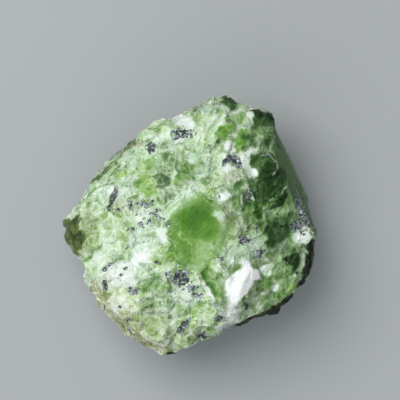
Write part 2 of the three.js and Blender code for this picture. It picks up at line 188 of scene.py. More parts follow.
@dataclass(frozen=True)
class Plate(Mark):
    """A region with straight sides between its corners."""

    points: tuple[Place, ...]

    def distance(self, x: np.ndarray, y: np.ndarray) -> np.ndarray:
        """Signed distance to the region's outline.

        Args:
            x: The points' places to the right, in millimetres.
            y: The points' places up the face, in millimetres.

        Returns:
            The distances in millimetres, below zero inside the region.
        """
        nearest = np.full(x.shape, np.inf)
        inside = np.zeros(x.shape, bool)
        for start, end in zip(self.points, self.points[1:] + self.points[:1]):
            nearest = np.minimum(nearest, segment_distance(x, y, start, end))
            (ax, ay), (bx, by) = start, end
            spans = (ay > y) != (by > y)
            if ay != by:
                inside ^= spans & (x < (bx - ax) * (y - ay) / (by - ay) + ax)
        return np.where(inside, -nearest, nearest)


@dataclass(frozen=True)
class Flake:
    """A dark metallic flake in the broken face, or a tight group of them."""

    x: float
    y: float
    long: float
    wide: float
    turn: float = 0.0
    ragged: float = 0.25


def segment_distance(x: np.ndarray, y: np.ndarray, start: Place, end: Place) -> np.ndarray:
    """Distance from points to a straight line between two ends.

    Args:
        x: The points' places to the right.
        y: The points' places up the face.
        start: The line's first end.
        end: The line's second end.

    Returns:
        The distances, in the unit of the arguments.
    """
    (ax, ay), (bx, by) = start, end
    dx, dy = bx - ax, by - ay
    share = np.clip(((x - ax) * dx + (y - ay) * dy) / (dx * dx + dy * dy), 0, 1)
    return np.hypot(x - ax - share * dx, y - ay - share * dy)


def eased(value: np.ndarray, low: float, high: float) -> np.ndarray:
    """A smooth step from 0 at low to 1 at high.

    Args:
        value: The values to step on.
        low: Where the step starts.
        high: Where the step ends; it may be below low.

    Returns:
        The steps, from 0 to 1.
    """
    share = np.clip((value - low) / (high - low), 0, 1)
    return share * share * (3 - 2 * share)


def scatter(cells: np.ndarray, seed: int) -> np.ndarray:
    """A seeded number from 0 to 1 for each cell of a lattice.

    Args:
        cells: Whole-number cells, one row each.
        seed: A different seed gives different numbers.

    Returns:
        One number for each row.
    """
    mixed = cells.astype(np.int64).astype(np.uint64)
    total = mixed[:, 0] * np.uint64(374761393) + mixed[:, 1] * np.uint64(668265263)
    total += mixed[:, 2] * np.uint64(2246822519) + np.uint64(seed * 3266489917 % 2**32)
    for _ in range(2):
        total &= np.uint64(0xFFFFFFFF)
        total ^= total >> np.uint64(15)
        total *= np.uint64(2654435761)
    total &= np.uint64(0xFFFFFFFF)
    total ^= total >> np.uint64(13)
    return total / 2.0**32


@dataclass(frozen=True)
class Noise:
    """Smooth seeded noise, the same in every run."""

    size: float
    seed: int

    def at(self, points: np.ndarray) -> np.ndarray:
        """The noise at some points.

        Args:
            points: Places in millimetres, one row each.

        Returns:
            Values from about -1 to 1.
        """
        scaled = points / self.size
        base = np.floor(scaled)
        share = scaled - base
        share = share * share * (3 - 2 * share)
        total = np.zeros(len(points))
        for corner in itertools.product((0, 1), repeat=3):
            weight = np.prod(np.where(np.array(corner) == 1, share, 1 - share), axis=1)
            total += weight * scatter(base + corner, self.seed)
        return total * 2 - 1


@dataclass(frozen=True)
class Clouds:
    """Wide noise with a share of finer noise on it."""

    wide: Noise
    fine: Noise
    share: float

    def at(self, points: np.ndarray) -> np.ndarray:
        """The noise at places in millimetres, one row each."""
        return self.wide.at(points) + self.share * self.fine.at(points)


@dataclass(frozen=True)
class Grains:
    """What a field of grains says about some points."""

    relief: np.ndarray
    border: np.ndarray
    value: np.ndarray


@dataclass(frozen=True)
class CellField:
    """Seeded grains that fill space, each with its own tilt and height."""

    size: float
    tilt: float
    rise: float
    seed: int
    jitter: float = 0.9

    def at(self, points: np.ndarray) -> Grains:
        """The grain that each point is in.

        Args:
            points: Places in millimetres, one row each.

        Returns:
            Each point's height on its grain's tilted top, its way to the border, and the grain's value.
        """
        scaled = points / self.size
        base = np.floor(scaled)
        nearest = np.full(len(points), np.inf)
        second = nearest.copy()
        owner = np.zeros_like(base)
        offset = np.zeros_like(scaled)
        for step in itertools.product((-1, 0, 1), repeat=3):
            cell = base + step
            moved = np.stack([scatter(cell, self.seed + axis) for axis in range(3)], axis=1)
            away = scaled - (cell + 0.5 + self.jitter * (moved - 0.5))
            length = np.sqrt((away**2).sum(axis=1))
            second = np.minimum(second, np.maximum(length, nearest))
            nearer = length < nearest
            nearest[nearer] = length[nearer]
            owner[nearer] = cell[nearer]
            offset[nearer] = away[nearer]
        slope = [scatter(owner, self.seed + 10 + axis) * 2 - 1 for axis in range(3)]
        lift = (scatter(owner, self.seed + 20) * 2 - 1) * self.rise
        relief = lift + self.tilt * self.size * (np.stack(slope, axis=1) * offset).sum(axis=1)
        return Grains(relief, (second - nearest) * self.size / 2, scatter(owner, self.seed + 30))


SNOW = Tint(tone=0.12, vivid=0.1, white=0.6, brown=0.0)
FROST = Tint(tone=0.14, vivid=0.15, white=0.25, brown=0.0)
MINT = Tint(tone=0.24, vivid=0.25, white=0.0)
CREAM = Tint(tone=0.14, vivid=0.35, brown=0.45, white=0.0)
RUST = Tint(tone=0.32, vivid=0.3, brown=0.7, white=0.0)
CHALK = Tint(tone=0.0, vivid=0.0, white=1.0, brown=0.0, lilac=0.0, grain=0.1, gloss=0.1)
MAUVE = Tint(tone=0.46, white=0.12, lilac=0.55, grain=1.0, brown=0.2)
# Painted shade: a nearly black, brownish band for the rim where the stone turns under into shadow.
PAINTED_SHADE_RIM = Tint(tone=1.12, vivid=0.1, brown=0.25, white=0.0, grain=0.3)


def green(tone: float, vivid: float, grain: float = 0.8, brown: float = 0.0) -> Tint:
    """A green crystal: how deep it is, how yellow and bright, how granular and how brown."""
    return Tint(tone=tone, vivid=vivid, white=0.0, brown=brown, grain=grain)


def clear(tone: float, vivid: float, grain: float) -> Tint:
    """A change inside the clear crystal: how deep it is, how yellow and bright, and how granular."""
    return Tint(tone=tone, vivid=vivid, grain=grain)


def fan(tint: Tint, start: Place, end: Place, step: Place, count: int, width: float) -> tuple[Streak, ...]:
    """Parallel streaks, as the striations on a crystal's side are.

    Args:
        tint: What each streak does.
        start: One end of the first streak.
        end: Its other end.
        step: From each streak to the next.
        count: How many there are.
        width: The width of each.

    Returns:
        The streaks.
    """
    shifts = [(step[0] * turn, step[1] * turn) for turn in range(count)]
    return tuple(
        Streak(tint, ((start[0] + dx, start[1] + dy), (end[0] + dx, end[1] + dy)), width, edge=0.25)
        for dx, dy in shifts
    )


UPPER_LEFT_MARKS: tuple[Mark, ...] = (
    Patch(green(0.31, 0.25), -4.0, 14.0, 17.0, 13.0, edge=2.0),
    Patch(MINT, -18.0, 13.8, 11.0, 5.0, 45.0, edge=1.0),
    Patch(MINT, -19.5, 8.5, 8.0, 6.0, 60.0, edge=1.0),
    Plate(
        green(0.25, 0.35),
        ((-7.8, 26.5), (-6.0, 25.8), (-5.0, 23.9), (-3.2, 22.1), (-4.6, 20.4), (-8.9, 21.1), (-12.7, 21.8)),
        edge=0.4,
    ),
    Patch(green(0.46, 0.5), -7.5, 24.0, 4.0, 2.5, 20.0, edge=0.8),
    Patch(SNOW, -1.0, 25.3, 6.5, 3.4, -30.0, edge=0.5),
    Patch(SNOW, -1.8, 20.4, 4.0, 1.6, edge=0.5),
    Patch(RUST, -12.0, 20.0, 2.4, 1.8, edge=0.3),
    Patch(Tint(tone=0.6, brown=0.8), -4.5, 17.7, 1.7, 1.1, edge=0.2),
    Streak(green(0.62, 0.3, 0.6, 0.25), ((-24.2, 10.4), (-19.0, 15.5), (-13.5, 20.9)), 1.5, edge=0.3),
    Streak(green(0.3, 0.25, 0.4), ((-23.6, 9.3), (-18.5, 14.3), (-13.2, 19.4)), 1.0, edge=0.2),
    Streak(green(0.6, 0.3, 0.4), ((-23.2, 8.4), (-18.2, 13.3), (-13.4, 18.3)), 0.5, edge=0.2),
    Patch(green(0.45, 0.8, 0.5), -16.5, 12.1, 2.2, 1.8, 30.0, edge=0.3),
    Patch(green(0.34, 0.5, 0.7), -11.9, 13.9, 4.0, 3.8, 20.0, edge=0.5),
    Patch(green(0.5, 0.9, 0.4), -10.5, 9.7, 4.6, 5.6, 15.0, edge=0.5),
    Patch(green(0.42, 0.1), -8.3, 15.3, 3.5, 4.0, edge=0.6),
    Patch(green(0.28, 0.25), -9.8, 17.4, 6.0, 3.6, edge=0.9),
    Patch(MINT, -14.6, 15.0, 4.0, 4.6, edge=0.8),
    Patch(green(0.46, 0.35), -5.4, 15.4, 4.6, 5.4, edge=0.5),
    Patch(green(0.36, 0.3), -1.5, 18.0, 6.0, 3.6, edge=0.8),
    Patch(green(0.74, 0.35, 0.6), -6.8, 10.9, 4.2, 3.6, 20.0, edge=0.4),
    Patch(green(0.6, 0.9, 0.5), 0.3, 14.4, 3.4, 2.6, 30.0, edge=0.4),
    Patch(green(0.58, 0.8, 0.5), -1.9, 11.7, 4.4, 3.4, 50.0, edge=0.4),
    Patch(green(0.34, 0.2), 2.4, 12.6, 3.4, 4.5, edge=0.6),
    Patch(green(0.5, 0.35), -5.7, 6.6, 4.6, 4.2, edge=0.7),
    Patch(green(0.38, 0.1, 0.6), -16.8, 4.9, 2.4, 2.4, edge=0.3),
    Patch(Tint(brown=0.4), -16.8, 4.9, 2.4, 2.4, edge=0.3),
)

LEFT_MARKS: tuple[Mark, ...] = (
    Patch(green(0.29, 0.4, 0.6, 0.05), -19.0, -1.5, 14.0, 8.0, edge=1.4),
    Patch(green(0.5, 0.5, 0.6, 0.2), -25.4, 2.0, 3.6, 4.0, edge=0.6),
    Patch(green(0.54, 0.5, 0.6, 0.2), -24.2, -1.4, 4.4, 8.5, edge=0.8),
    Patch(green(0.34, 0.6, 0.6, 0.1), -15.6, -3.4, 5.0, 4.0, edge=0.9),
    Patch(green(0.3, 0.45), -20.0, -5.0, 5.0, 3.0, 20.0, edge=0.8),
    Patch(green(0.36, 0.5), -17.2, -6.8, 5.0, 3.0, edge=0.7),
    Streak(green(0.52, 0.3), ((-26.0, -8.8), (-22.6, -5.4)), 1.2, edge=0.4),
    Patch(Tint(tone=0.16, vivid=0.25, white=0.1, grain=0.5), -22.3, -9.3, 6.5, 4.0, 38.0, edge=0.5),
    Patch(MINT, -22.5, -13.0, 5.0, 5.0, edge=0.8),
    Patch(green(0.32, 0.15), -9.8, -3.4, 10.0, 7.4, edge=1.2),
    Patch(FROST, -9.6, 2.4, 8.0, 4.4, edge=1.0),
    Patch(green(0.32, 0.05), -11.4, -1.6, 6.0, 4.0, edge=0.9),
    Patch(green(0.34, 0.05), -7.2, 1.2, 4.0, 3.0, edge=0.7),
    Patch(SNOW, -6.4, -2.2, 3.4, 3.2, edge=0.5),
    Patch(SNOW, -12.2, -8.9, 13.0, 3.4, 22.0, edge=0.8),
    Patch(SNOW, -16.4, -12.6, 7.5, 6.0, edge=1.0),
    Patch(green(0.4, 0.55), -6.0, -6.6, 5.4, 4.8, edge=0.6),
    Patch(green(0.54, 0.5), -4.7, -5.6, 1.8, 1.6, edge=0.3),
    Patch(green(0.46, 0.15), -10.0, -9.9, 3.0, 2.0, edge=0.4),
    Patch(green(0.34, 0.35), -11.2, -13.0, 4.4, 4.4, edge=0.6),
    Patch(green(0.46, 0.5), -8.2, -14.2, 5.8, 5.2, edge=0.5),
    Patch(green(0.58, 0.5, 0.4), -8.4, -14.0, 2.8, 2.8, edge=0.4),
    Patch(green(0.46, 0.4), -6.7, -17.2, 3.2, 3.0, edge=0.4),
    Patch(CREAM, -18.6, -18.4, 6.0, 6.0, edge=0.8),
    Patch(CREAM, -16.2, -21.4, 6.0, 5.0, -30.0, edge=0.8),
    Patch(MINT, -13.2, -19.0, 4.0, 4.5, edge=0.6),
    Patch(green(0.5, 0.65, 0.5), -9.5, -19.3, 4.2, 3.6, edge=0.4),
    Patch(green(0.3, 0.1), -5.1, -20.2, 4.2, 3.4, edge=0.5),
    Plate(
        green(0.36, 0.55, 0.7),
        ((-12.4, -21.2), (-10.2, -22.0), (-6.9, -21.4), (-4.7, -24.0), (-5.1, -25.8), (-8.0, -27.8),
         (-10.6, -26.9), (-12.4, -24.0)),
        edge=0.35,
    ),
    Patch(green(0.48, 0.8, 0.5), -8.6, -24.4, 5.0, 4.8, edge=0.7),
    Patch(RUST, -13.6, -25.4, 3.6, 5.6, 40.0, edge=0.6),
    Patch(RUST, -5.6, -27.1, 3.4, 4.4, -40.0, edge=0.6),
    Patch(green(0.45, 0.4, 0.8, 0.2), -10.2, -28.4, 4.0, 2.5, -30.0, edge=0.5),
    Patch(green(0.54, 0.35, 0.8, 0.4), -7.1, -30.0, 4.0, 3.4, edge=0.5),
    Patch(green(0.4, 0.4, 0.8, 0.25), -1.4, -27.2, 7.0, 4.8, 20.0, edge=0.6),
    Patch(Tint(brown=0.22, vivid=0.45), -14.0, -24.0, 26.0, 14.0, -45.0, edge=3.0),
    Streak(
        green(0.3, 0.45, 0.9, 0.6),
        ((-23.4, -15.6), (-21.4, -19.0), (-18.6, -22.8), (-14.7, -26.2), (-10.6, -28.8), (-7.6, -30.4)), 3.8,
        edge=0.9,
    ),
    Patch(green(0.46, 0.45, 0.9, 0.5), -14.4, -24.6, 8.0, 4.6, -45.0, edge=1.2),
    Streak(green(0.24, 0.3), ((-26.0, -9.3), (-25.2, -14.5)), 1.0, edge=0.3),
    Streak(green(0.8, 0.1), ((-26.9, -9.3), (-26.0, -14.8)), 0.5, edge=0.3),
    Plate(
        green(0.84, 0.8, 0.6, 0.4),
        ((-33.6, -3.7), (-29.6, 0.5), (-28.3, 2.4), (-27.0, 1.6), (-26.6, -0.9), (-25.8, -3.1), (-26.3, -5.3),
         (-26.7, -8.8), (-29.5, -9.2)),
        edge=0.35,
    ),
    Patch(green(0.52, 0.3, 0.8, 0.4), -27.6, -7.4, 2.0, 2.6, edge=0.4),
)

TOP_MARKS: tuple[Mark, ...] = (
    Patch(green(0.39, 0.2), 3.2, 18.4, 8.4, 6.6, edge=1.3),
    Patch(green(0.3, 0.5, 0.5), 5.2, 25.0, 10.0, 5.6, 60.0, edge=0.7),
    *fan(FROST, (2.2, 20.4), (5.2, 25.6), (0.9, -0.5), 3, 0.35),
    *fan(SNOW, (5.2, 23.4), (7.0, 27.8), (1.2, -0.9), 2, 0.4),
    Patch(green(0.54, 0.55, 0.5), 11.4, 25.6, 5.6, 3.0, 35.0, edge=0.5),
    Patch(green(0.62, 0.95, 0.3), 8.2, 22.5, 4.6, 2.9, 45.0, edge=0.4),
    Patch(green(0.85, 0.2), 6.6, 20.5, 1.3, 0.9, 40.0, edge=0.2),
    Patch(SNOW, 10.1, 19.6, 3.0, 2.6, edge=0.4),
    Plate(
        green(0.58, 0.75, 0.35),
        ((11.2, 21.9), (11.8, 23.1), (14.0, 23.8), (15.1, 23.6), (15.8, 22.1), (14.7, 20.5), (12.8, 19.3),
         (12.1, 18.1), (11.6, 19.5)),
        edge=0.3,
    ),
    Patch(green(0.62, 1.0, 0.3), 12.0, 19.9, 1.8, 2.2, edge=0.3),
    Patch(green(0.5, 0.7, 0.5), 2.4, 26.2, 2.2, 1.8, 40.0, edge=0.3),
    Patch(green(0.62, 0.3, 0.6, 0.2), 1.4, 28.8, 1.8, 1.6, edge=0.3),
    Patch(green(0.45, 0.1), 6.0, 28.6, 8.0, 3.0, 10.0, edge=0.6),
    Patch(FROST, 10.9, 28.6, 4.0, 1.8, edge=0.4),
    Patch(green(0.58, 0.05), 6.6, 30.6, 3.0, 2.2, edge=0.4),
    Patch(green(0.84, 0.6, 0.4), 9.8, 30.6, 3.8, 3.0, -35.0, edge=0.3),
    Patch(SNOW, 15.2, 26.6, 3.0, 1.8, -40.0, edge=0.4),
    Patch(green(0.42, 0.15), 15.6, 24.6, 3.0, 2.0, edge=0.4),
)

RIGHT_MARKS: tuple[Mark, ...] = (
    Patch(green(0.62, 0.35, 0.6), 20.0, 9.0, 11.0, 24.0, 12.0, edge=1.6),
    Patch(green(0.6, 0.3, 0.6), 20.0, -1.0, 8.0, 12.0, edge=1.4),
    Patch(green(0.62, 0.5, 0.5, 0.08), 20.0, -12.0, 12.0, 13.0, edge=1.6),
    Patch(green(0.8, 0.3, 0.5), 18.7, 24.4, 8.0, 5.6, -60.0, edge=0.5),
    Patch(green(1.05, 0.1), 16.8, 27.2, 2.6, 1.8, -20.0, edge=0.2),
    Patch(green(1.0, 0.1), 20.0, 26.9, 2.6, 2.0, -40.0, edge=0.2),
    Patch(green(0.64, 0.25, 0.7), 18.6, 21.2, 7.0, 6.4, edge=0.7),
    Patch(green(0.52, 0.25, 0.7), 18.2, 17.8, 6.0, 3.0, edge=0.7),
    Patch(SNOW, 14.4, 18.0, 5.0, 1.8, 30.0, edge=0.5),
    Patch(FROST, 14.2, 14.8, 3.0, 4.0, 20.0, edge=0.6),
    Patch(green(0.78, 0.5, 0.5), 18.2, 15.0, 6.8, 6.0, edge=0.35),
    Patch(green(0.92, 0.5, 0.2), 19.6, 10.6, 9.0, 7.0, 70.0, edge=0.6),
    Patch(green(0.88, 0.5, 0.2), 17.6, 7.6, 5.0, 5.4, edge=0.4),
    Patch(green(0.82, 0.8, 0.2), 16.6, 3.8, 2.8, 3.6, edge=0.3),
    *fan(green(0.7, 0.45, 0.2), (17.4, 7.2), (21.6, 11.6), (1.0, -1.3), 3, 0.3),
    Streak(
        green(0.45, 0.3, 0.1),
        ((25.8, 8.6), (24.3, 4.6), (21.3, 2.4), (18.9, 0.0), (17.4, -2.6)), 2.1, edge=0.35,
    ),
    Plate(
        green(1.02, 0.6, 0.2),
        ((23.6, 8.9), (23.8, 7.3), (22.5, 5.1), (20.3, 4.0), (19.4, 3.2), (21.3, 6.8)), edge=0.25,
    ),
    Patch(green(0.84, 0.22, 0.4), 20.7, -1.8, 8.8, 5.4, 45.0, edge=0.6),
    Patch(green(0.62, 0.2, 0.5), 25.4, 1.4, 3.6, 3.6, edge=0.6),
    Patch(green(0.36, 0.1, 0.5), 16.6, -3.6, 3.4, 4.6, -20.0, edge=0.4),
    Patch(green(0.62, 0.35, 0.5), 24.4, -4.8, 4.0, 3.8, 30.0, edge=0.4),
    Patch(green(0.46, 0.35), 28.1, -5.0, 3.0, 3.2, edge=0.4),
    Patch(SNOW, 27.6, -2.6, 4.6, 2.8, -20.0, edge=0.5),
    Patch(green(0.5, 0.3, 0.4), 21.8, -8.1, 4.0, 2.4, 20.0, edge=0.35),
    Patch(green(1.0, 0.75, 0.25), 25.0, -9.6, 6.2, 4.0, 80.0, squareness=2.0, edge=0.3),
    Patch(green(0.38, 0.4, 0.5), 27.7, -9.4, 3.8, 1.9, 80.0, edge=0.3),
    Patch(FROST, 19.6, -10.7, 3.8, 2.8, 20.0, edge=0.4),
    *fan(green(0.45, 0.3, 0.4), (18.6, -12.2), (21.4, -9.8), (0.5, -0.6), 3, 0.25),
    Patch(green(0.6, 0.5, 0.4), 22.9, -11.6, 4.8, 4.2, edge=0.5),
    Patch(green(0.58, 0.5, 0.15), 18.7, -13.9, 2.6, 3.2, edge=0.3),
    Patch(green(0.58, 0.7, 0.4), 24.2, -14.8, 3.8, 3.2, edge=0.4),
    Patch(SNOW, 20.8, -15.0, 1.6, 1.6, edge=0.3),
    Patch(green(0.62, 0.5, 0.6), 20.3, -17.2, 4.4, 2.6, 20.0, edge=0.4),
    Patch(green(0.52, 0.5, 0.6), 19.4, -19.3, 4.0, 2.4, 20.0, edge=0.4),
    Patch(green(0.6, 0.6, 0.6, 0.2), 22.9, -18.0, 2.8, 2.4, edge=0.3),
    Patch(SNOW, 18.0, -16.6, 1.4, 1.5, edge=0.3),
)

MIDDLE_CRYSTAL = (
    (-4.2, -0.4), (-3.2, 1.9), (-1.9, 4.5), (-0.3, 5.8), (2.0, 6.4), (4.3, 6.0), (6.0, 4.6), (7.0, 2.4),
    (8.4, 0.0), (7.8, -2.9), (6.6, -5.8), (5.4, -8.1), (3.6, -10.0), (0.0, -10.2), (-1.6, -9.2),
    (-2.7, -6.8), (-4.0, -3.1),
)
CALCITE = (
    (12.3, -7.9), (14.2, -9.1), (15.6, -10.7), (17.3, -11.4), (17.4, -13.1), (15.8, -13.8), (15.1, -15.2),
    (13.7, -16.9), (12.3, -18.3), (10.9, -19.9), (9.5, -19.5), (9.0, -17.1), (8.9, -14.7), (9.9, -12.6),
    (11.8, -11.2), (12.8, -9.8),
)
STRIATED_CRYSTAL = (
    (2.7, -11.4), (4.5, -10.0), (7.6, -10.5), (8.5, -11.9), (8.8, -15.2), (7.1, -18.8), (5.9, -19.2),
    (3.8, -15.2),
)

MIDDLE_MARKS: tuple[Mark, ...] = (
    Streak(green(0.2, 0.1), ((-6.2, 2.6), (-2.2, 6.4), (0.8, 8.2)), 3.2, edge=0.9),
    *fan(FROST, (-5.4, 2.4), (1.4, 8.6), (-0.5, 0.9), 3, 0.4),
    *fan(green(0.45, 0.2), (-4.6, 2.8), (1.6, 8.2), (-0.5, 0.9), 3, 0.25),
    Patch(green(0.44, 0.3), 2.2, 10.4, 7.4, 3.2, edge=0.8),
    Patch(green(0.54, 0.35, 0.6, 0.12), 11.4, 2.0, 8.0, 11.0, edge=1.0),
    Patch(Tint(tone=0.32, vivid=0.12, white=0.1, grain=0.7), 13.6, -6.2, 9.0, 4.6, edge=1.0),
    Patch(green(0.34, 0.35, 0.8, 0.25), 10.2, 12.8, 4.8, 3.6, edge=0.5),
    Patch(green(0.4, 0.2, 0.8, 0.4), 8.3, 11.5, 2.0, 3.0, edge=0.4),
    Patch(SNOW, 9.6, 14.1, 3.0, 1.4, edge=0.3),
    Patch(SNOW, 15.1, 12.5, 1.9, 2.3, 30.0, edge=0.3),
    Patch(SNOW, 7.8, 7.5, 2.6, 2.6, edge=0.3),
    Patch(green(0.68, 0.6, 0.4), 11.8, 9.4, 3.2, 2.2, 60.0, edge=0.3),
    Patch(green(0.76, 0.42, 0.25), 13.2, 5.8, 5.4, 4.4, 100.0, edge=0.5),
    Patch(FROST, 15.3, 6.6, 2.4, 0.6, 110.0, edge=0.2),
    Patch(green(0.64, 0.5, 0.4), 10.6, 5.2, 4.6, 2.8, 80.0, edge=0.4),
    Patch(green(0.52, 0.3, 0.6, 0.3), 9.2, 4.2, 3.4, 1.5, 80.0, edge=0.3),
    Patch(green(0.54, 0.35, 0.6, 0.15), 10.6, 0.8, 5.4, 3.0, 100.0, edge=0.4),
    Patch(green(0.5, 0.5, 0.4), 14.8, 2.2, 4.6, 2.2, 110.0, edge=0.4),
    Streak(green(0.75, 0.4, 0.3), ((12.6, 3.4), (13.4, 1.4), (14.2, -0.4)), 0.4, edge=0.2),
    Plate(Tint(even=1.0), MIDDLE_CRYSTAL, edge=2.4),
    Plate(Tint(tone=0.38, vivid=0.7, white=0.0, grain=0.3, gloss=-0.6, brown=0.0), MIDDLE_CRYSTAL, edge=1.5),
    Patch(clear(0.26, 0.5, 0.5), 3.8, -6.4, 5.6, 7.0, edge=1.6),
    Patch(clear(0.26, 0.45, 0.5), 7.6, 0.6, 2.8, 8.0, edge=1.2),
    Patch(clear(0.2, 0.3, 0.5), -1.6, 4.6, 3.4, 8.0, -45.0, edge=1.2),
    Patch(clear(0.6, 1.0, 0.06), 1.6, 1.6, 7.6, 6.8, 40.0, edge=2.0),
    Patch(clear(0.46, 0.85, 0.1), 4.6, -0.8, 5.0, 4.4, edge=1.4),
    Patch(clear(0.44, 0.7, 0.2), -0.4, -6.0, 6.8, 3.0, 105.0, edge=0.5),
    Patch(clear(0.44, 0.7, 0.2), -2.8, -2.1, 3.4, 1.8, 100.0, edge=0.5),
    Streak(Tint(tone=0.22, vivid=0.4), ((-2.2, -1.2), (0.2, -5.0), (1.4, -9.0)), 0.3, edge=0.3),
    Patch(FROST, 7.4, 2.2, 3.2, 1.5, 115.0, edge=0.4),
    Patch(green(0.5, 0.5, 0.5), -5.4, -8.4, 2.4, 3.2, edge=0.4),
    Patch(green(0.46, 0.6, 0.5), -8.0, -7.8, 2.2, 3.0, 30.0, edge=0.4),
    Patch(green(0.36, 0.1), 7.6, -8.2, 2.8, 2.0, edge=0.5),
    Patch(green(0.5, 0.4, 0.5, 0.15), 10.6, -10.2, 3.2, 2.4, edge=0.4),
    Patch(green(0.25, 0.1), -0.9, -17.4, 7.0, 4.6, -30.0, edge=0.8),
    Patch(Tint(white=0.35), -0.9, -17.4, 6.0, 3.6, -30.0, edge=0.8),
    Patch(MINT, 1.4, -10.2, 4.4, 2.4, edge=0.6),
    Plate(green(0.52, 0.55, 0.4), STRIATED_CRYSTAL, edge=0.35),
    Streak(green(0.7, 0.55, 0.2), ((3.3, -11.6), (5.9, -17.0)), 1.4, edge=0.25),
    *fan(green(0.38, 0.5, 0.3), (5.1, -11.2), (7.4, -16.4), (1.5, 0.1), 2, 0.12),
    Streak(SNOW, ((2.9, -13.9), (5.2, -18.2), (7.2, -21.2)), 0.8, edge=0.3),
    Patch(green(0.4, 0.55), 3.6, -22.4, 7.4, 5.8, edge=0.6),
    Patch(green(0.45, 0.3, 0.7, 0.25), 15.8, -16.2, 4.4, 2.2, 80.0, edge=0.4),
    Patch(green(0.56, 0.25), 13.8, -20.0, 4.0, 4.2, edge=0.5),
    Patch(green(0.85, 0.2), 13.7, -19.5, 1.3, 1.1, edge=0.25),
    Patch(green(0.32, 0.2, 0.8, 0.15), 17.0, -18.9, 2.0, 3.0, edge=0.4),
    Patch(MAUVE, 9.8, -21.6, 5.4, 4.6, 20.0, edge=0.6),
    Patch(Tint(tone=0.5, white=0.1, lilac=0.5, brown=0.4, grain=1.0), 9.6, -24.8, 3.4, 2.4, edge=0.4),
    Plate(CHALK, CALCITE, edge=0.25),
    Patch(Tint(tone=0.5, brown=0.5, white=0.2), 16.0, -13.9, 1.5, 0.7, edge=0.2),
)

RIM_MARKS: tuple[Mark, ...] = (
    Plate(
        Tint(tone=0.62, vivid=0.8, white=0.0, brown=0.0, grain=0.08, gloss=0.4, even=1.0),
        ((20.8, 26.0), (21.4, 20.8), (21.9, 15.8), (23.4, 11.4), (25.2, 8.0), (26.6, 5.2), (28.6, 3.4),
         (31.0, 0.0), (36.0, 0.0), (36.0, 30.0), (22.4, 30.0)),
        edge=0.8,
    ),
    Patch(Tint(tone=0.62), 25.4, 9.0, 6.0, 2.4, 100.0, edge=1.4),
    # Painted highlight: a paler band along the right smooth face that stands in for its gleam, partly a paler
    # translucent band in the crystal.
    Streak(Tint(tone=0.5, vivid=0.15), ((22.4, 24.0), (25.0, 17.0), (27.8, 9.6), (29.8, 4.6)), 0.9, edge=1.0),
    Patch(green(0.7, 0.3, 0.3, 0.3), 31.0, 0.4, 2.2, 5.0, edge=0.4),
    # Painted shade along the lower-right rim, where the underside turns away into shadow.
    Streak(
        PAINTED_SHADE_RIM,
        ((30.6, -4.6), (29.6, -9.6), (27.9, -13.8), (25.2, -17.6), (21.5, -20.4), (17.5, -21.9)), 1.9,
        edge=0.4,
    ),
    Streak(PAINTED_SHADE_RIM, ((17.5, -22.2), (15.2, -23.2), (12.0, -24.2), (10.8, -25.6)), 2.0, edge=0.3),
    # Painted shadow: a thin dark line along the bottom edge.
    Streak(PAINTED_SHADE_RIM, ((-5.8, -32.4), (0.1, -30.3), (5.0, -28.3)), 0.8, edge=0.3),
)

FACE_MARKS = UPPER_LEFT_MARKS + LEFT_MARKS + TOP_MARKS + RIGHT_MARKS + MIDDLE_MARKS + RIM_MARKS

WHITE_LINES: tuple[Streak, ...] = (
    Streak(SNOW, ((17.7, 17.4), (19.6, 17.3), (20.6, 15.8), (21.3, 14.6), (20.3, 12.9)), 0.4),
    Streak(SNOW, ((11.1, 21.7), (11.7, 23.3), (13.7, 24.1)), 0.35),
    Streak(SNOW, ((23.4, 9.6), (21.6, 7.6), (19.6, 6.3)), 0.25),
    Streak(SNOW, ((-8.2, 13.3), (-6.0, 12.6), (-5.0, 11.6), (-3.2, 13.0)), 0.4),
    Streak(SNOW, ((-7.5, 9.3), (-4.6, 9.2), (-2.9, 10.1)), 0.35),
    Streak(SNOW, ((-12.5, -20.8), (-10.0, -21.4), (-6.8, -20.9), (-4.4, -23.8), (-5.0, -26.2)), 0.35),
    Streak(SNOW, ((-11.6, -18.6), (-10.4, -17.2), (-8.2, -17.2), (-7.4, -19.6)), 0.35),
    Streak(SNOW, ((23.2, -8.8), (25.2, -11.6), (26.6, -13.2)), 0.3),
    Streak(SNOW, ((12.9, 7.6), (12.4, 4.6), (13.2, 1.2)), 0.3),
)

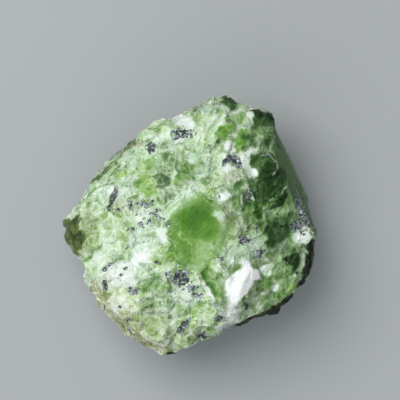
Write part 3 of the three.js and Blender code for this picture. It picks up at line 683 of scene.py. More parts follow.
FACE_FLAKES: tuple[Flake, ...] = (
    Flake(-1.5, 22.4, 4.6, 2.0, 5.0, 0.5),
    Flake(-9.2, 19.1, 2.8, 2.0, 30.0, 0.4),
    Flake(8.7, 15.6, 2.2, 1.1, 50.0),
    Flake(10.2, 16.3, 2.8, 1.5, 5.0),
    Flake(11.8, 15.1, 1.3, 2.4, 0.0),
    Flake(6.2, 11.2, 0.5, 0.75),
    Flake(7.3, 7.3, 0.5, 0.75),
    Flake(14.3, 7.3, 1.1, 2.6, -5.0),
    Flake(-18.5, 7.2, 4.2, 1.6, 65.0, 0.15),
    Flake(-19.3, 4.4, 1.2, 1.5, 0.0, 0.5),
    Flake(-17.5, 3.8, 1.3, 0.5),
    Flake(-14.3, 4.9, 1.0, 2.6, 15.0),
    Flake(-10.6, 5.2, 3.4, 1.2, 5.0, 0.7),
    Flake(-6.8, 2.0, 2.8, 0.6, -30.0),
    Flake(-5.1, 0.3, 0.8, 1.3, 0.0, 0.5),
    Flake(-12.0, 0.4, 2.4, 0.9, 20.0, 0.9),
    Flake(-9.4, 2.8, 2.8, 0.8, 20.0, 0.9),
    Flake(-2.1, -12.5, 4.0, 3.8, 0.0, 1.3),
    Flake(-5.4, -11.8, 1.0, 1.4),
    Flake(-8.0, -8.8, 0.9, 0.9),
    Flake(-19.9, -10.1, 3.3, 0.9, 38.0, 0.15),
    Flake(-15.5, -10.4, 1.0, 0.8),
    Flake(-16.6, -12.0, 1.2, 0.8, 20.0),
    Flake(-20.5, -14.5, 1.2, 2.5, 0.0, 0.2),
    Flake(-13.8, -16.0, 2.8, 1.8, -20.0, 0.4),
    Flake(-17.0, -19.8, 0.7, 0.8),
    Flake(-20.9, -19.8, 0.6, 1.0),
    Flake(-14.2, -25.2, 0.8, 1.0, 0.0, 0.5),
    Flake(-12.6, -27.3, 0.8, 0.6, 0.0, 0.5),
    Flake(-15.0, -23.3, 1.2, 0.5, 20.0),
    Flake(-1.6, -24.6, 5.2, 1.3, 52.0, 0.2),
    Flake(2.8, -27.0, 2.2, 1.7, 20.0, 0.3),
    Flake(0.7, -15.2, 2.0, 1.6, -30.0, 0.8),
    Flake(1.9, -16.7, 1.6, 1.2, -30.0, 0.8),
    Flake(-3.7, -18.8, 0.6, 0.6),
    Flake(-4.6, -15.8, 0.7, 0.6),
    Flake(-4.6, -22.2, 0.7, 0.6),
    Flake(7.1, -22.7, 1.8, 2.1, 0.0, 0.3),
    Flake(13.2, -3.3, 2.4, 2.4, 0.0, 0.9),
    Flake(16.2, -0.8, 0.5, 1.2),
    Flake(7.9, -7.9, 0.6, 0.7),
    Flake(17.3, -6.6, 1.8, 1.4, 0.0, 0.9),
    Flake(27.9, 3.6, 8.0, 2.4, 105.0, 1.0),
    Flake(26.3, 0.2, 3.6, 2.8, 0.0, 0.6),
)


@dataclass(frozen=True)
class Colouring:
    """Sets every channel of the stone from its place: marks on the broken face, seeded grains elsewhere."""

    base: Tint = Tint(tone=0.38, vivid=0.36, grain=0.9, gloss=0.15)
    face_foot: float = 10.0
    face_start: float = 16.5
    foot_warp: float = 3.0
    hue_swing: float = 0.3
    warp_wide: float = 0.8
    warp_fine: float = 0.4
    drift: float = 5.0
    drift_top: float = 21.0
    drift_end: float = 14.0
    far: float = 3.0
    raggedness: float = 1.5
    spot_start: float = 0.86
    spot_slope: float = 3.0
    side_tone: float = 0.48
    side_tone_swing: float = 0.34
    side_tone_range: Step = (0.12, 0.95)
    side_vivid: float = 0.35
    side_vivid_swing: float = 0.5
    side_brown: float = 0.8
    side_white: float = 0.55
    side_grain: float = 0.85
    side_gloss: float = 0.15
    side_shine: float = 0.5
    crust_step: Step = (0.25, 0.8)
    snow_step: Step = (0.45, 0.8)
    shine_step: Step = (0.4, 0.8)
    foot: Noise = Noise(4.0, 35)
    hue: Noise = Noise(4.5, 36)
    wide: tuple[Noise, Noise] = (Noise(2.6, 31), Noise(2.6, 32))
    fine: tuple[Noise, Noise] = (Noise(0.9, 33), Noise(0.9, 34))
    wander: tuple[Noise, Noise] = (Noise(4.5, 37), Noise(4.5, 38))
    depth: Clouds = Clouds(Noise(9.0, 41), Noise(3.5, 42), 0.5)
    crust: Clouds = Clouds(Noise(11.0, 43), Noise(3.0, 44), 0.6)
    snow: Clouds = Clouds(Noise(6.5, 45), Noise(2.2, 46), 0.6)
    bright: Noise = Noise(5.0, 47)
    ragged: Clouds = Clouds(Noise(0.55, 51), Noise(0.3, 52), 0.5)
    spots: Clouds = Clouds(Noise(3.1, 53), Noise(1.0, 54), 0.35)

    def channels(self, points: np.ndarray) -> Channels:
        """The value of every channel at some points.

        Args:
            points: Places on the stone in millimetres, one row each.

        Returns:
            One array for each channel.
        """
        values = self._hidden_sides(points)
        height = points[:, 2] + self.foot_warp * self.foot.at(points)
        shown = eased(height, self.face_foot, self.face_start)
        x, y = self._warped(points)
        base = self.base.values()
        face = {channel: np.full(len(points), base.get(channel, 0.0)) for channel in values}
        for mark in FACE_MARKS:
            share = eased(mark.distance(x, y), mark.edge, -mark.edge)
            for channel, value in mark.tint.values().items():
                face[channel] += share * (value - face[channel])
        face[Channel.VIVID] += self.hue_swing * self.hue.at(points) * face[Channel.GRAIN]
        for channel, hidden in values.items():
            values[channel] = hidden + shown * (face[channel] - hidden)
        values[Channel.LINE] = np.where(height > self.face_start, self._lines(x, y), self.far)
        values[Channel.FLAKE] = self._flakes(points, height)
        return values

    def _warped(self, points: np.ndarray) -> tuple[np.ndarray, ...]:
        """Places on the face, moved so that no outline is a clean curve or runs straight down a side.

        Args:
            points: Places on the stone in millimetres, one row each.

        Returns:
            The moved places to the right and up the face.
        """
        low = self.drift * eased(points[:, 2], self.drift_top, self.drift_end)
        moved = []
        for axis, (wide, fine, wander) in enumerate(zip(self.wide, self.fine, self.wander)):
            place = points[:, axis] + self.warp_wide * wide.at(points) + self.warp_fine * fine.at(points)
            moved.append(place + low * wander.at(points))
        return tuple(moved)

    def _hidden_sides(self, points: np.ndarray) -> Channels:
        """The channels of the sides and back: green grains under a thin brown weathering.

        Args:
            points: Places on the stone in millimetres, one row each.

        Returns:
            One array for each channel that a mark can set.
        """
        bright = self.bright.at(points)
        shine = self.side_shine * eased(bright, *self.shine_step)
        tone = self.side_tone + self.side_tone_swing * self.depth.at(points)
        return {
            Channel.TONE: np.clip(tone, *self.side_tone_range),
            Channel.VIVID: np.clip(self.side_vivid + self.side_vivid_swing * bright, 0, 1),
            Channel.BROWN: self.side_brown * eased(self.crust.at(points), *self.crust_step),
            Channel.WHITE: self.side_white * eased(self.snow.at(points), *self.snow_step),
            Channel.LILAC: np.zeros(len(points)),
            Channel.GRAIN: self.side_grain - shine,
            Channel.GLOSS: self.side_gloss + shine,
            Channel.EVEN: np.zeros(len(points)),
        }

    def _lines(self, x: np.ndarray, y: np.ndarray) -> np.ndarray:
        """Signed distance to the nearest white line of the face.

        Args:
            x: The points' places to the right, in millimetres.
            y: The points' places up the face, in millimetres.

        Returns:
            The distances in millimetres, at most far.
        """
        nearest = np.full(len(x), self.far)
        for line in WHITE_LINES:
            nearest = np.minimum(nearest, line.distance(x, y))
        return nearest

    def _flakes(self, points: np.ndarray, height: np.ndarray) -> np.ndarray:
        """Signed distance to the nearest dark flake.

        Args:
            points: Places on the stone in millimetres, one row each.
            height: How high each lies, with an uneven foot to the broken face.

        Returns:
            The distances in millimetres, below zero inside a flake and at most far.
        """
        x, y = points[:, 0], points[:, 1]
        rough = self.raggedness * self.ragged.at(points)
        nearest = np.full(len(points), self.far)
        for flake in FACE_FLAKES:
            patch = Patch(SNOW, flake.x, flake.y, flake.long, flake.wide, flake.turn)
            nearest = np.minimum(nearest, patch.distance(x, y) + flake.ragged * rough)
        nearest = np.where(height > self.face_start, nearest, self.far)
        spread = (self.spot_start - self.spots.at(points)) * self.spot_slope
        return np.minimum(nearest, np.where(points[:, 2] < self.face_start, spread, self.far))


def placed(name: str, data: bpy.types.ID) -> bpy.types.Object:
    """Puts some data in the scene as an object at the origin.

    Args:
        name: The object's name.
        data: Its mesh, light or camera.

    Returns:
        The object.
    """
    made = bpy.data.objects.new(name, data)
    bpy.context.scene.collection.objects.link(made)
    return made


@dataclass
class Stone:
    """The chunk itself: the solid's form with its grains, chips and polished sides."""

    voxel: float = 0.6
    quick_voxel: float = 0.8
    join_reach: float = 0.001
    fine_height: float = 15.0
    fine_facing: float = 0.1
    flat_height: float = 0.25
    crease: float = 28.0
    facet_angle: float = 9.0
    seam_reach: float = 3.0
    smoothing: int = 110
    normal_smoothing: int = 3
    even_relief: float = 0.92
    white_relief: float = 0.55
    calcite_rise: float = 0.35
    calcite_step: Step = (0.8, 1.0)
    flake_dip: float = 0.15
    flake_step: Step = (0.3, -0.2)
    facet_seeds: tuple[int, ...] = (71, 72, 73)
    tone_step: float = 0.25
    vivid_step: float = 0.25
    shiny_gloss: float = 0.8
    shiny_facets: Step = (0.7, 0.8)
    coarse: CellField = CellField(3.0, 0.2, 0.08, 101)
    fine: CellField = CellField(1.2, 0.1, 0.03, 131)
    dust: CellField = CellField(0.65, 0.07, 0.01, 161)
    colouring: Colouring = Colouring()

    def build(self, node: bpy.types.Object) -> bpy.types.Object:
        """Makes the stone's mesh round the solid's form.

        Args:
            node: The CAD node that the stone stands for.

        Returns:
            The finished object, with its channels on its points.
        """
        solid = self._merged_copy(node)
        mesh = self._remeshed(solid)
        self._refine(mesh)
        angle = math.radians(self.facet_angle)
        bmesh.ops.dissolve_limit(solid, angle_limit=angle, verts=solid.verts, edges=solid.edges)
        solid.faces.ensure_lookup_table()
        owners = self._snap(mesh, BVHTree.FromBMesh(solid))
        self._carve(mesh, owners, self._seams(mesh, solid, owners))
        solid.free()
        return placed("rough_diopside", mesh)

    def _merged_copy(self, node: bpy.types.Object) -> bmesh.types.BMesh:
        """A copy of the solid's faces with its loose triangles joined.

        Args:
            node: The CAD node, left as it is.

        Returns:
            The joined copy.
        """
        solid = bmesh.new()
        solid.from_mesh(node.data)
        bmesh.ops.remove_doubles(solid, verts=solid.verts, dist=self.join_reach * MM)
        bmesh.ops.recalc_face_normals(solid, faces=solid.faces)
        return solid

    def _remeshed(self, solid: bmesh.types.BMesh) -> bpy.types.Mesh:
        """An even mesh of small squares over the solid.

        Args:
            solid: The merged solid.

        Returns:
            The new mesh.
        """
        source = bpy.data.meshes.new("merged solid")
        solid.to_mesh(source)
        holder = placed("merged solid", source)
        remesh = holder.modifiers.new("squares", "REMESH")
        remesh.mode = "VOXEL"
        remesh.voxel_size = self.voxel * MM
        shown = holder.evaluated_get(bpy.context.evaluated_depsgraph_get())
        mesh = bpy.data.meshes.new_from_object(shown)
        bpy.data.objects.remove(holder)
        mesh.name = "rough diopside"
        return mesh

    def _refine(self, mesh: bpy.types.Mesh) -> None:
        """Halves the squares of the broken face, which holds the finest grains.

        Args:
            mesh: The even mesh, changed in place.
        """
        fine = bmesh.new()
        fine.from_mesh(mesh)
        chosen = [
            face for face in fine.faces
            if face.normal.z > self.fine_facing and face.calc_center_median().z > self.fine_height * MM
        ]
        edges = list({edge for face in chosen for edge in face.edges})
        bmesh.ops.subdivide_edges(fine, edges=edges, cuts=1, use_grid_fill=True)
        bmesh.ops.triangulate(fine, faces=[face for face in fine.faces if len(face.verts) > 4])
        fine.to_mesh(mesh)
        fine.free()

    def _snap(self, mesh: bpy.types.Mesh, surface: BVHTree) -> np.ndarray:
        """Puts every point of the even mesh back on the solid's own faces.

        Args:
            mesh: The even mesh, changed in place.
            surface: The solid's flat facets.

        Returns:
            The number of the facet that each point lies on.
        """
        owners = np.zeros(len(mesh.vertices), int)
        for vertex in mesh.vertices:
            nearest, _, facet, _ = surface.find_nearest(vertex.co)
            vertex.co = nearest
            owners[vertex.index] = facet
        return owners

    def _seams(self, mesh: bpy.types.Mesh, solid: bmesh.types.BMesh, owners: np.ndarray) -> np.ndarray:
        """How far each point is from the border of its facet.

        Args:
            mesh: The snapped mesh.
            solid: The solid, with its flat facets.
            owners: The facet of each point.

        Returns:
            The distances in millimetres.
        """
        points = self._points(mesh)
        distances = np.full(len(points), self.seam_reach)
        order = np.argsort(owners, kind="stable")
        starts = np.flatnonzero(np.diff(owners[order], prepend=-1))
        for group in np.split(order, starts[1:]):
            corners = [np.array(corner.co) / MM for corner in solid.faces[owners[group[0]]].verts]
            for start, end in zip(corners, corners[1:] + corners[:1]):
                side = end - start
                away = points[group] - start
                share = np.clip(away @ side / max(side @ side, TINY), 0, 1)
                reach = np.linalg.norm(away - share[:, None] * side, axis=1)
                distances[group] = np.minimum(distances[group], reach)
        return distances

    def _carve(self, mesh: bpy.types.Mesh, owners: np.ndarray, seams: np.ndarray) -> None:
        """Adds the grains' relief, keeps the resting spot flat, and stores the channels.

        Args:
            mesh: The snapped mesh, changed in place.
            owners: The facet of each point.
            seams: How far each point is from its facet's border, in millimetres.
        """
        points = self._points(mesh)
        edges = self._edges(mesh)
        channels = self.colouring.channels(points)
        coarse = self.coarse.at(points)
        self._vary_facets(channels, owners, coarse)
        even = channels[Channel.EVEN]
        channels[Channel.SEAM] = np.minimum(seams, coarse.border) + even * self.seam_reach
        resting = points[:, 2] < self.flat_height
        carved = self._smoothed(points, edges, np.where(resting, 0.0, even), self.smoothing)
        self._move(mesh, carved)
        relief = np.where(resting, 0.0, self._relief(points, channels, coarse))
        carved += self._normals(mesh, edges) * relief[:, None]
        low, high = (np.array(corner) / MM for corner in CAD_BOX)
        carved = np.clip(carved, low, high)
        carved[resting, 2] = 0.0
        self._move(mesh, carved)
        for channel, values in channels.items():
            layer = mesh.attributes.new(channel.value, "FLOAT", "POINT")
            layer.data.foreach_set("value", values.astype(np.float32))
        mesh.shade_smooth()
        mesh.set_sharp_from_angle(angle=math.radians(self.crease))

    def _vary_facets(self, channels: Channels, owners: np.ndarray, grains: Grains) -> None:
        """Gives each facet and each coarse grain its own step of tone, colour and gloss.

        Args:
            channels: The points' channels, changed in place.
            owners: The facet of each point.
            grains: The coarse grain of each point.
        """
        cells = np.stack([owners, np.full_like(owners, 3), np.full_like(owners, 5)], axis=1)
        depth, hue, shine = (scatter(cells, seed) for seed in self.facet_seeds)
        uneven = 1 - channels[Channel.EVEN]
        mixed = channels[Channel.GRAIN] * uneven * (1 - channels[Channel.WHITE])
        channels[Channel.TONE] += self.tone_step * mixed * (depth + grains.value - 1)
        channels[Channel.VIVID] += self.vivid_step * mixed * (hue + grains.value * 7 % 1 - 1)
        shiny = uneven * eased(shine, *self.shiny_facets)
        channels[Channel.GLOSS] += shiny * (self.shiny_gloss - channels[Channel.GLOSS])

    def _relief(self, points: np.ndarray, channels: Channels, coarse: Grains) -> np.ndarray:
        """How far each point stands out of its facet.

        Args:
            points: Places on the stone in millimetres, one row each.
            channels: The points' channels.
            coarse: The coarse grain of each point.

        Returns:
            The heights in millimetres.
        """
        white = channels[Channel.WHITE]
        relief = coarse.relief + self.fine.at(points).relief + self.dust.at(points).relief
        relief *= (1 - self.even_relief * channels[Channel.EVEN]) * (1 - self.white_relief * white)
        relief += self.calcite_rise * eased(white, *self.calcite_step)
        relief -= self.flake_dip * eased(channels[Channel.FLAKE], *self.flake_step)
        return relief

    def _points(self, mesh: bpy.types.Mesh) -> np.ndarray:
        """The mesh's points.

        Args:
            mesh: The mesh to read.

        Returns:
            The places in millimetres, one row each.
        """
        flat = np.empty(len(mesh.vertices) * 3, np.float32)
        mesh.vertices.foreach_get("co", flat)
        return flat.reshape(-1, 3).astype(float) / MM

    def _edges(self, mesh: bpy.types.Mesh) -> np.ndarray:
        """The mesh's edges.

        Args:
            mesh: The mesh to read.

        Returns:
            The numbers of each edge's two points, one row each.
        """
        flat = np.empty(len(mesh.edges) * 2, np.int32)
        mesh.edges.foreach_get("vertices", flat)
        return flat.reshape(-1, 2)

    def _normals(self, mesh: bpy.types.Mesh, edges: np.ndarray) -> np.ndarray:
        """Which way the mesh faces at each point, evened out a little.

        Args:
            mesh: The mesh to read.
            edges: Its edges' pairs of points.

        Returns:
            Rows one long that point outwards.
        """
        flat = np.empty(len(mesh.vertices) * 3, np.float32)
        mesh.vertices.foreach_get("normal", flat)
        rows = flat.reshape(-1, 3).astype(float)
        rows = self._smoothed(rows, edges, np.ones(len(rows)), self.normal_smoothing)
        return rows / np.maximum(np.linalg.norm(rows, axis=1, keepdims=True), TINY)

    def _move(self, mesh: bpy.types.Mesh, points: np.ndarray) -> None:
        """Puts the mesh's points in new places, given in millimetres."""
        mesh.vertices.foreach_set("co", (points * MM).astype(np.float32).ravel())
        mesh.update()

    def _smoothed(self, values: np.ndarray, edges: np.ndarray, hold: np.ndarray, rounds: int) -> np.ndarray:
        """Values relaxed towards the mean of their neighbours.

        Args:
            values: One row of numbers for each point.
            edges: Pairs of points.
            hold: How much each point relaxes in a round, from 0 to 1.
            rounds: How often.

        Returns:
            The relaxed values.
        """
        count = len(values)
        first, second = edges[:, 0], edges[:, 1]
        shares = np.maximum(np.bincount(first, minlength=count) + np.bincount(second, minlength=count), 1)
        relaxed = values.copy()
        for _ in range(rounds):
            mean = np.empty_like(relaxed)
            for axis in range(relaxed.shape[1]):
                column = relaxed[:, axis]
                total = np.bincount(first, column[second], count) + np.bincount(second, column[first], count)
                mean[:, axis] = total / shares
            relaxed += 0.5 * hold[:, None] * (mean - relaxed)
        return relaxed


@dataclass
class FlakePlates:
    """Thin six-sided metallic plates, grown in tight groups where the dark flakes are."""

    plates_per_square: float = 0.6
    ragged_loss: float = 0.4
    group_reach: float = 0.42
    smallest: float = 0.22
    largest: float = 0.62
    share_of_flake: float = 0.55
    sides: int = 6
    thickness: float = 0.1
    taper: float = 0.86
    narrowest: float = 0.5
    widest: float = 0.95
    lean: float = 24.0
    sink: float = 0.02
    outside: float = 60.0
    hidden_groups: int = 46
    hidden_most: int = 5
    hidden_low: float = 0.96
    hidden_high: float = 14.4
    hidden_spread: float = 0.7
    hidden_rise: float = 0.12
    lowest: float = 1.0
    seed: int = 7

    def build(self, stone: bpy.types.Object) -> bpy.types.Object:
        """Makes all the plates as one mesh on the stone's surface.

        Args:
            stone: The finished stone.

        Returns:
            The finished object.
        """
        rng = np.random.default_rng(self.seed)
        form = bmesh.new()
        form.from_mesh(stone.data)
        surface = BVHTree.FromBMesh(form)
        form.free()
        plates = bmesh.new()
        for flake in FACE_FLAKES:
            self._face_group(plates, surface, flake, rng)
        for _ in range(self.hidden_groups):
            self._side_group(plates, surface, rng)
        mesh = bpy.data.meshes.new("graphite flakes")
        plates.to_mesh(mesh)
        plates.free()
        return placed("graphite_flakes", mesh)

    def _face_group(
        self, plates: bmesh.types.BMesh, surface: BVHTree, flake: Flake, rng: np.random.Generator
    ) -> None:
        """Grows one group of plates inside a flake of the broken face.

        Args:
            plates: The mesh that the plates are added to.
            surface: The stone's surface.
            flake: Where the group grows.
            rng: The source of seeded numbers.
        """
        kept = 1 - self.ragged_loss * flake.ragged
        count = max(1, round(self.plates_per_square * flake.long * flake.wide * kept))
        most = self.share_of_flake * min(flake.long, flake.wide)
        angle = math.radians(flake.turn)
        for _ in range(count):
            reach, way = math.sqrt(rng.random()) * self.group_reach, rng.random() * math.tau
            along, across = flake.long * reach * math.cos(way), flake.wide * reach * math.sin(way)
            x = flake.x + along * math.cos(angle) - across * math.sin(angle)
            y = flake.y + along * math.sin(angle) + across * math.cos(angle)
            above = Vector((x, y, self.outside)) * MM
            place, normal = surface.ray_cast(above, Vector((0, 0, -1)))[:2]
            if place is not None:
                self._plate(plates, place, normal, min(rng.uniform(self.smallest, self.largest), most), rng)

    def _side_group(self, plates: bmesh.types.BMesh, surface: BVHTree, rng: np.random.Generator) -> None:
        """Grows one small group of plates on a side or on the back.

        Args:
            plates: The mesh that the plates are added to.
            surface: The stone's surface.
            rng: The source of seeded numbers.
        """
        way, height = rng.random() * math.tau, rng.uniform(self.hidden_low, self.hidden_high)
        beside = Vector((self.outside * math.cos(way), self.outside * math.sin(way), height)) * MM
        inwards = Vector((-math.cos(way), -math.sin(way), self.hidden_rise))
        for _ in range(int(rng.integers(1, self.hidden_most + 1))):
            start = beside + Vector(rng.uniform(-self.hidden_spread, self.hidden_spread, 3)) * MM
            place, normal = surface.ray_cast(start, inwards)[:2]
            if place is not None and place.z > self.lowest * MM:
                self._plate(plates, place, normal, rng.uniform(self.smallest, self.largest), rng)

    def _plate(
        self, plates: bmesh.types.BMesh, place: Vector, normal: Vector, size: float, rng: np.random.Generator
    ) -> None:
        """Adds one six-sided plate.

        Args:
            plates: The mesh that the plate is added to.
            place: Where it sits, in metres.
            normal: Which way the stone faces there.
            size: The plate's radius in millimetres.
            rng: The source of seeded numbers.
        """
        lean = Matrix.Rotation(math.radians(rng.uniform(-self.lean, self.lean)), 4, "X")
        lean @= Matrix.Rotation(math.radians(rng.uniform(-self.lean, self.lean)), 4, "Y")
        spin = Matrix.Rotation(rng.random() * math.pi, 4, "Z")
        stretch = Matrix.Diagonal((1.0, rng.uniform(self.narrowest, self.widest), 1.0, 1.0))
        facing = normal.to_track_quat("Z", "Y").to_matrix().to_4x4()
        seat = Matrix.Translation(place - normal * self.sink * MM)
        bmesh.ops.create_cone(
            plates,
            cap_ends=True,
            segments=self.sides,
            radius1=size * MM,
            radius2=size * self.taper * MM,
            depth=self.thickness * MM,
            matrix=seat @ facing @ lean @ spin @ stretch,
        )


@dataclass(frozen=True)
class Colour:
    """A colour as it looks on a screen, from 0 to 255."""

    red: float
    green: float
    blue: float

    def linear(self) -> tuple[float, float, float, float]:
        """The colour as light, for a socket."""
        shares = (part / 255 for part in (self.red, self.green, self.blue))
        lit = (part / 12.92 if part <= 0.04045 else ((part + 0.055) / 1.055) ** 2.4 for part in shares)
        return (*lit, 1.0)


Stops = tuple[tuple[float, Colour], ...]


@dataclass
class Graph:
    """Adds nodes to one material, with the values it holds read from sockets or numbers."""

    material: bpy.types.Material

    @classmethod
    def named(cls, name: str) -> "Graph":
        """A graph on a new material that holds only its shader and output.

        Args:
            name: The material's name.

        Returns:
            The graph.
        """
        material = bpy.data.materials.new(name)
        material.use_nodes = True
        return cls(material)

    def set(self, **values: Value) -> None:
        """Feeds the shader's sockets, which are named in words joined by an underscore.

        Args:
            values: A socket or a plain value for each of the shader's sockets.
        """
        shader = self.material.node_tree.nodes["Principled BSDF"]
        for name, value in values.items():
            self.feed(shader.inputs[name.replace("_", " ")], value)

    def node(self, kind: str, **settings: object) -> bpy.types.Node:
        """A new node.

        Args:
            kind: Blender's name for the kind of node.
            settings: The node's own settings.

        Returns:
            The node.
        """
        made = self.material.node_tree.nodes.new(kind)
        for name, value in settings.items():
            setattr(made, name, value)
        return made

    def feed(self, socket: Socket, value: Value) -> None:
        """Links a socket, or sets a plain value.

        Args:
            socket: The socket to feed.
            value: Another socket or a plain value.
        """
        if isinstance(value, bpy.types.NodeSocket):
            self.material.node_tree.links.new(value, socket)
        else:
            socket.default_value = value

    def math(self, operation: str, first: Value, second: Value = 0.0, clamp: bool = False) -> Socket:
        """The result of a sum on two values.

        Args:
            operation: The node's operation, such as ADD.
            first: A socket or a number.
            second: A socket or a number.
            clamp: True to keep the result from 0 to 1.

        Returns:
            The result's socket.
        """
        made = self.node("ShaderNodeMath", operation=operation, use_clamp=clamp)
        self.feed(made.inputs[0], first)
        self.feed(made.inputs[1], second)
        return made.outputs[0]

    def plus(self, first: Value, second: Value) -> Socket:
        """Two values added."""
        return self.math("ADD", first, second)

    def minus(self, first: Value, second: Value, clamp: bool = False) -> Socket:
        """The second value taken from the first, kept from 0 to 1 where clamp is true."""
        return self.math("SUBTRACT", first, second, clamp)

    def times(self, first: Value, second: Value) -> Socket:
        """Two values multiplied."""
        return self.math("MULTIPLY", first, second)

    def swing(self, value: Value, reach: float) -> Socket:
        """A value from 0 to 1 as a swing of that reach, half to each side of zero."""
        return self.times(self.minus(value, 0.5), reach)

    def step(self, value: Value, low: float, high: float) -> Socket:
        """A smooth step of a value from 0 at low to 1 at high.

        Args:
            value: A socket or a number.
            low: Where the step starts.
            high: Where the step ends; it may be below low.

        Returns:
            The step's socket.
        """
        made = self.node("ShaderNodeMapRange", interpolation_type="SMOOTHSTEP")
        rising = high > low
        self.feed(made.inputs["Value"], value)
        made.inputs["From Min"].default_value = low if rising else high
        made.inputs["From Max"].default_value = high if rising else low
        made.inputs["To Min"].default_value = 0.0 if rising else 1.0
        made.inputs["To Max"].default_value = 1.0 if rising else 0.0
        return made.outputs["Result"]

    def mix(self, share: Value, first: Value | Colour, second: Value | Colour) -> Socket:
        """A colour between two colours.

        Args:
            share: How much of the second, as a socket or a number.
            first: A socket or a colour.
            second: A socket or a colour.

        Returns:
            The colour's socket.
        """
        made = self.node("ShaderNodeMix", data_type="RGBA")
        self.feed(made.inputs[0], share)
        for place, colour in ((6, first), (7, second)):
            self.feed(made.inputs[place], colour.linear() if isinstance(colour, Colour) else colour)
        return made.outputs[2]

    def channel(self, channel: Channel) -> Socket:
        """The value that the mesh carries for a channel."""
        return self.node("ShaderNodeAttribute", attribute_name=channel.value).outputs["Fac"]

    def noise(self, place: Socket, rate: float, detail: float, roughness: float = 0.5) -> bpy.types.Node:
        """A noise node.

        Args:
            place: Where the noise is read.
            rate: How many waves there are in one unit of place.
            detail: How many finer layers it has.
            roughness: How strong they are.

        Returns:
            The node, with the outputs Fac and Color.
        """
        made = self.node("ShaderNodeTexNoise")
        self.feed(made.inputs["Vector"], place)
        made.inputs["Scale"].default_value = rate
        made.inputs["Detail"].default_value = detail
        made.inputs["Roughness"].default_value = roughness
        return made

    def ramp(self, value: Value, stops: Stops) -> Socket:
        """A colour picked along a row of stops.

        Args:
            value: Where along the row, as a socket or a number.
            stops: Places from 0 to 1 with their colours.

        Returns:
            The colour's socket.
        """
        made = self.node("ShaderNodeValToRGB")
        elements = made.color_ramp.elements
        while len(elements) < len(stops):
            elements.new(0.5)
        for element, (place, colour) in zip(elements, stops):
            element.position = place
            element.color = colour.linear()
        self.feed(made.inputs["Fac"], value)
        return made.outputs["Color"]


TONE_SPAN = 1.2


def toned(*stops: tuple[float, Colour]) -> Stops:
    """Stops given by tone, from white at 0 to black at the span's end, placed from 0 to 1."""
    return tuple((tone / TONE_SPAN, colour) for tone, colour in stops)


@dataclass(frozen=True)
class GrainValues:
    """What the shader knows of one point: its place, its frost and the grains of each size round it."""

    place: Socket
    grain: Socket
    frost: Socket
    large: tuple[Socket, ...]
    small: tuple[Socket, ...]
    dust: tuple[Socket, ...]


